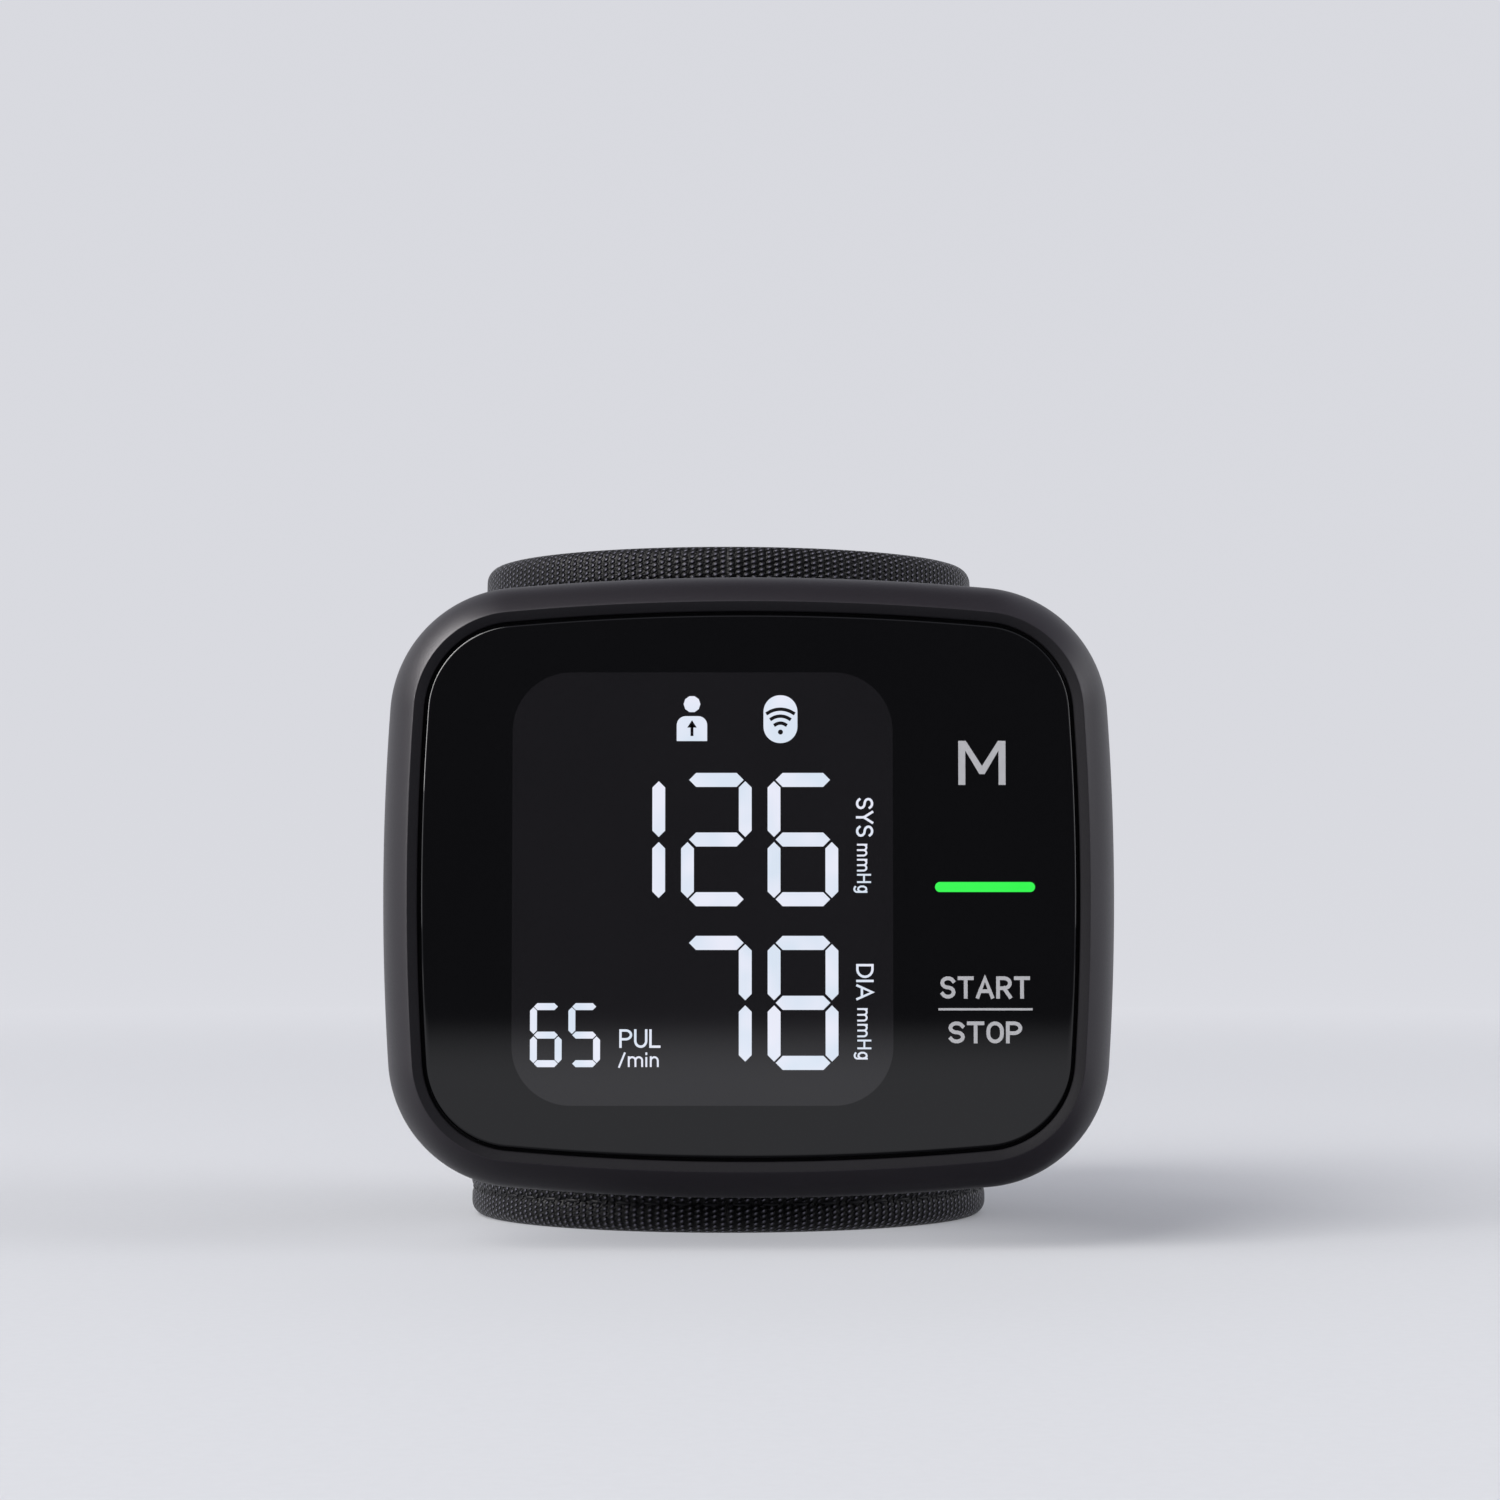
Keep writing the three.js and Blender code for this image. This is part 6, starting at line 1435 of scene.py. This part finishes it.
set_inputs(surface, {"Base Color": shown, "Emission Color": glow, "Emission Strength": 1.0,
                     "Roughness": 0.8, "Specular IOR Level": 0.05})
wall_end = FLOOR_RADIUS + WALL_BEND * math.pi / 2
paper_floor = formed_grid("paper_floor", FLOOR_COLUMNS, FLOOR_ROWS, sweep_place(
    0, 360, 0, FLOOR_RADIUS))
wall_behind = formed_grid("paper_wall_behind", BACK_COLUMNS, FLOOR_ROWS, sweep_place(
    -FRONT_BEARING, FRONT_BEARING, FLOOR_RADIUS, wall_end))
wall_before = formed_grid("paper_wall_before", FRONT_COLUMNS, FLOOR_ROWS, sweep_place(
    FRONT_BEARING, 360 - FRONT_BEARING, FLOOR_RADIUS, wall_end))
for paper in (paper_floor, wall_behind, wall_before):
    paper.data.materials.append(paper_painted_pool)

# Card: dark where the lens and the underside of the bezel see it, and elsewhere pale as the paper.
# Under the bezel its dark patch is painted shade, which the bezel reflects in place of the floor's
# shadow
dark_card = formed_grid("dark_card", 2, CARD_ROWS, card_place)
card_black, tree, surface, where = new_material("black_card")
reach = add_node(tree, "ShaderNodeSeparateXYZ", {"Vector": where.outputs["Object"]})
far = add_node(tree, "ShaderNodeMapRange", {
    "Value": reach.outputs["Y"], "From Min": CARD_TO * MM, "From Max": CARD_FROM * MM},
    interpolation_type="SMOOTHSTEP")
# Painted shade: a dark patch on the card under the bezel's front, seen only in reflections
off_spot = add_node(tree, "ShaderNodeVectorMath", {
    0: where.outputs["Object"], 1: CARD_SHADE_SPOT}, operation="DISTANCE")
near = add_node(tree, "ShaderNodeMapRange", {
    "Value": off_spot, "From Min": CARD_SHADE_CORE, "From Max": CARD_SHADE_EDGE},
    interpolation_type="SMOOTHSTEP")
fade = add_node(tree, "ShaderNodeMath", {0: far, 1: near}, operation="MINIMUM")
tone = add_node(tree, "ShaderNodeMix", {
    "Factor": fade, MIX_A: hex_linear("#4a4a4f"), MIX_B: hex_linear("#d8d9df")}, data_type="RGBA")
set_inputs(surface, {"Emission Color": tone, "Emission Strength": 1.0, "Roughness": 0.9,
                     "Base Color": hex_linear("#000000"), "Specular IOR Level": 0.0})

# Felt: a dull black with a fine nap
flag = formed_grid("overhead_flag", 2, 2, flag_place)
flag_black = mottled("black_felt", "#1c1c1f", "#242428", 5.0, 0.5, {
    "Emission Strength": 1.0, "Base Color": hex_linear("#000000"), "Specular IOR Level": 0.0},
    2.0, onto=("Emission Color",))
for card, finish in ((dark_card, card_black), (flag, flag_black)):
    card.data.materials.append(finish)
    card.visible_camera = False
for piece in (dark_card, flag, wall_before):
    piece.visible_diffuse = False
    piece.visible_shadow = False
wall_before.visible_glossy = False


def area_light(name, place, aim_height, size, power, colour, only_glints=False):
    """A rectangular light, in metres, turned towards a height above the middle of the floor."""
    light = bpy.data.lights.new(name, "AREA")
    light.shape = "RECTANGLE"
    light.size, light.size_y = size
    light.energy = power
    light.color = colour
    lamp = bpy.data.objects.new(name, light)
    bpy.context.scene.collection.objects.link(lamp)
    lamp.location = place
    x, y, z = place
    lamp.rotation_euler = (math.atan2(math.hypot(x, y), z - aim_height), 0, math.atan2(x, -y))
    lamp.visible_camera = False
    lamp.visible_diffuse = not only_glints


WARM, ROSY = (1.0, 0.99, 0.98), (1.0, 0.97, 0.97)
NEUTRAL, COOL = (1.0, 0.99, 0.99), (0.98, 0.98, 1.0)
area_light("key", (-2.0, -2.4, 2.4), 0.03, (2.3, 2.3), 108.0, WARM)
area_light("key_glint", (-2.2, -0.6, 1.45), 0.03, (1.9, 2.8), 240.0, ROSY, only_glints=True)
area_light("right_glint", (1.6, 0.5, 0.5), 0.036, (1.4, 1.0), 4.5, COOL, only_glints=True)
area_light("front_fill", (0.3, -3.0, 0.75), 0.02, (2.7, 0.8), 3.0, NEUTRAL)
area_light("side_left", (-1.4, -0.5, 0.4), 0.036, (1.0, 0.8), 6.8, COOL)
area_light("side_right", (1.45, -0.35, 0.4), 0.036, (1.0, 0.8), 10.8, COOL)

world = bpy.data.worlds.new("pale_room")
bpy.context.scene.world = world
world.use_nodes = True
set_inputs(world.node_tree.nodes["Background"], {"Color": hex_linear("#cacbd6"), "Strength": 0.7})

# Camera: low in front of the lens and tilted a little up, as the picture was taken. Its place and
# focal length were fitted to the case's outline and to both ends of the cuff.
CAMERA_X, CAMERA_DISTANCE, CAMERA_HEIGHT = 0.135, 312.3, 32.6
CAMERA_TILT = 0.055
FOCAL_PIXELS, PICTURE_PIXELS, SENSOR = 3153.2, 1500, 36.0

camera_data = bpy.data.cameras.new("camera")
camera = bpy.data.objects.new("camera", camera_data)
bpy.context.scene.collection.objects.link(camera)
camera_data.sensor_width = SENSOR
camera_data.lens = SENSOR * FOCAL_PIXELS / PICTURE_PIXELS
camera_data.clip_start = 0.01
camera.location = (CAMERA_X * MM, (crest_y - CAMERA_DISTANCE) * MM, CAMERA_HEIGHT * MM)
camera.rotation_euler = (math.pi / 2 + CAMERA_TILT, 0.0, 0.0)
bpy.context.scene.camera = camera
bpy.context.scene.view_settings.view_transform = "Standard"
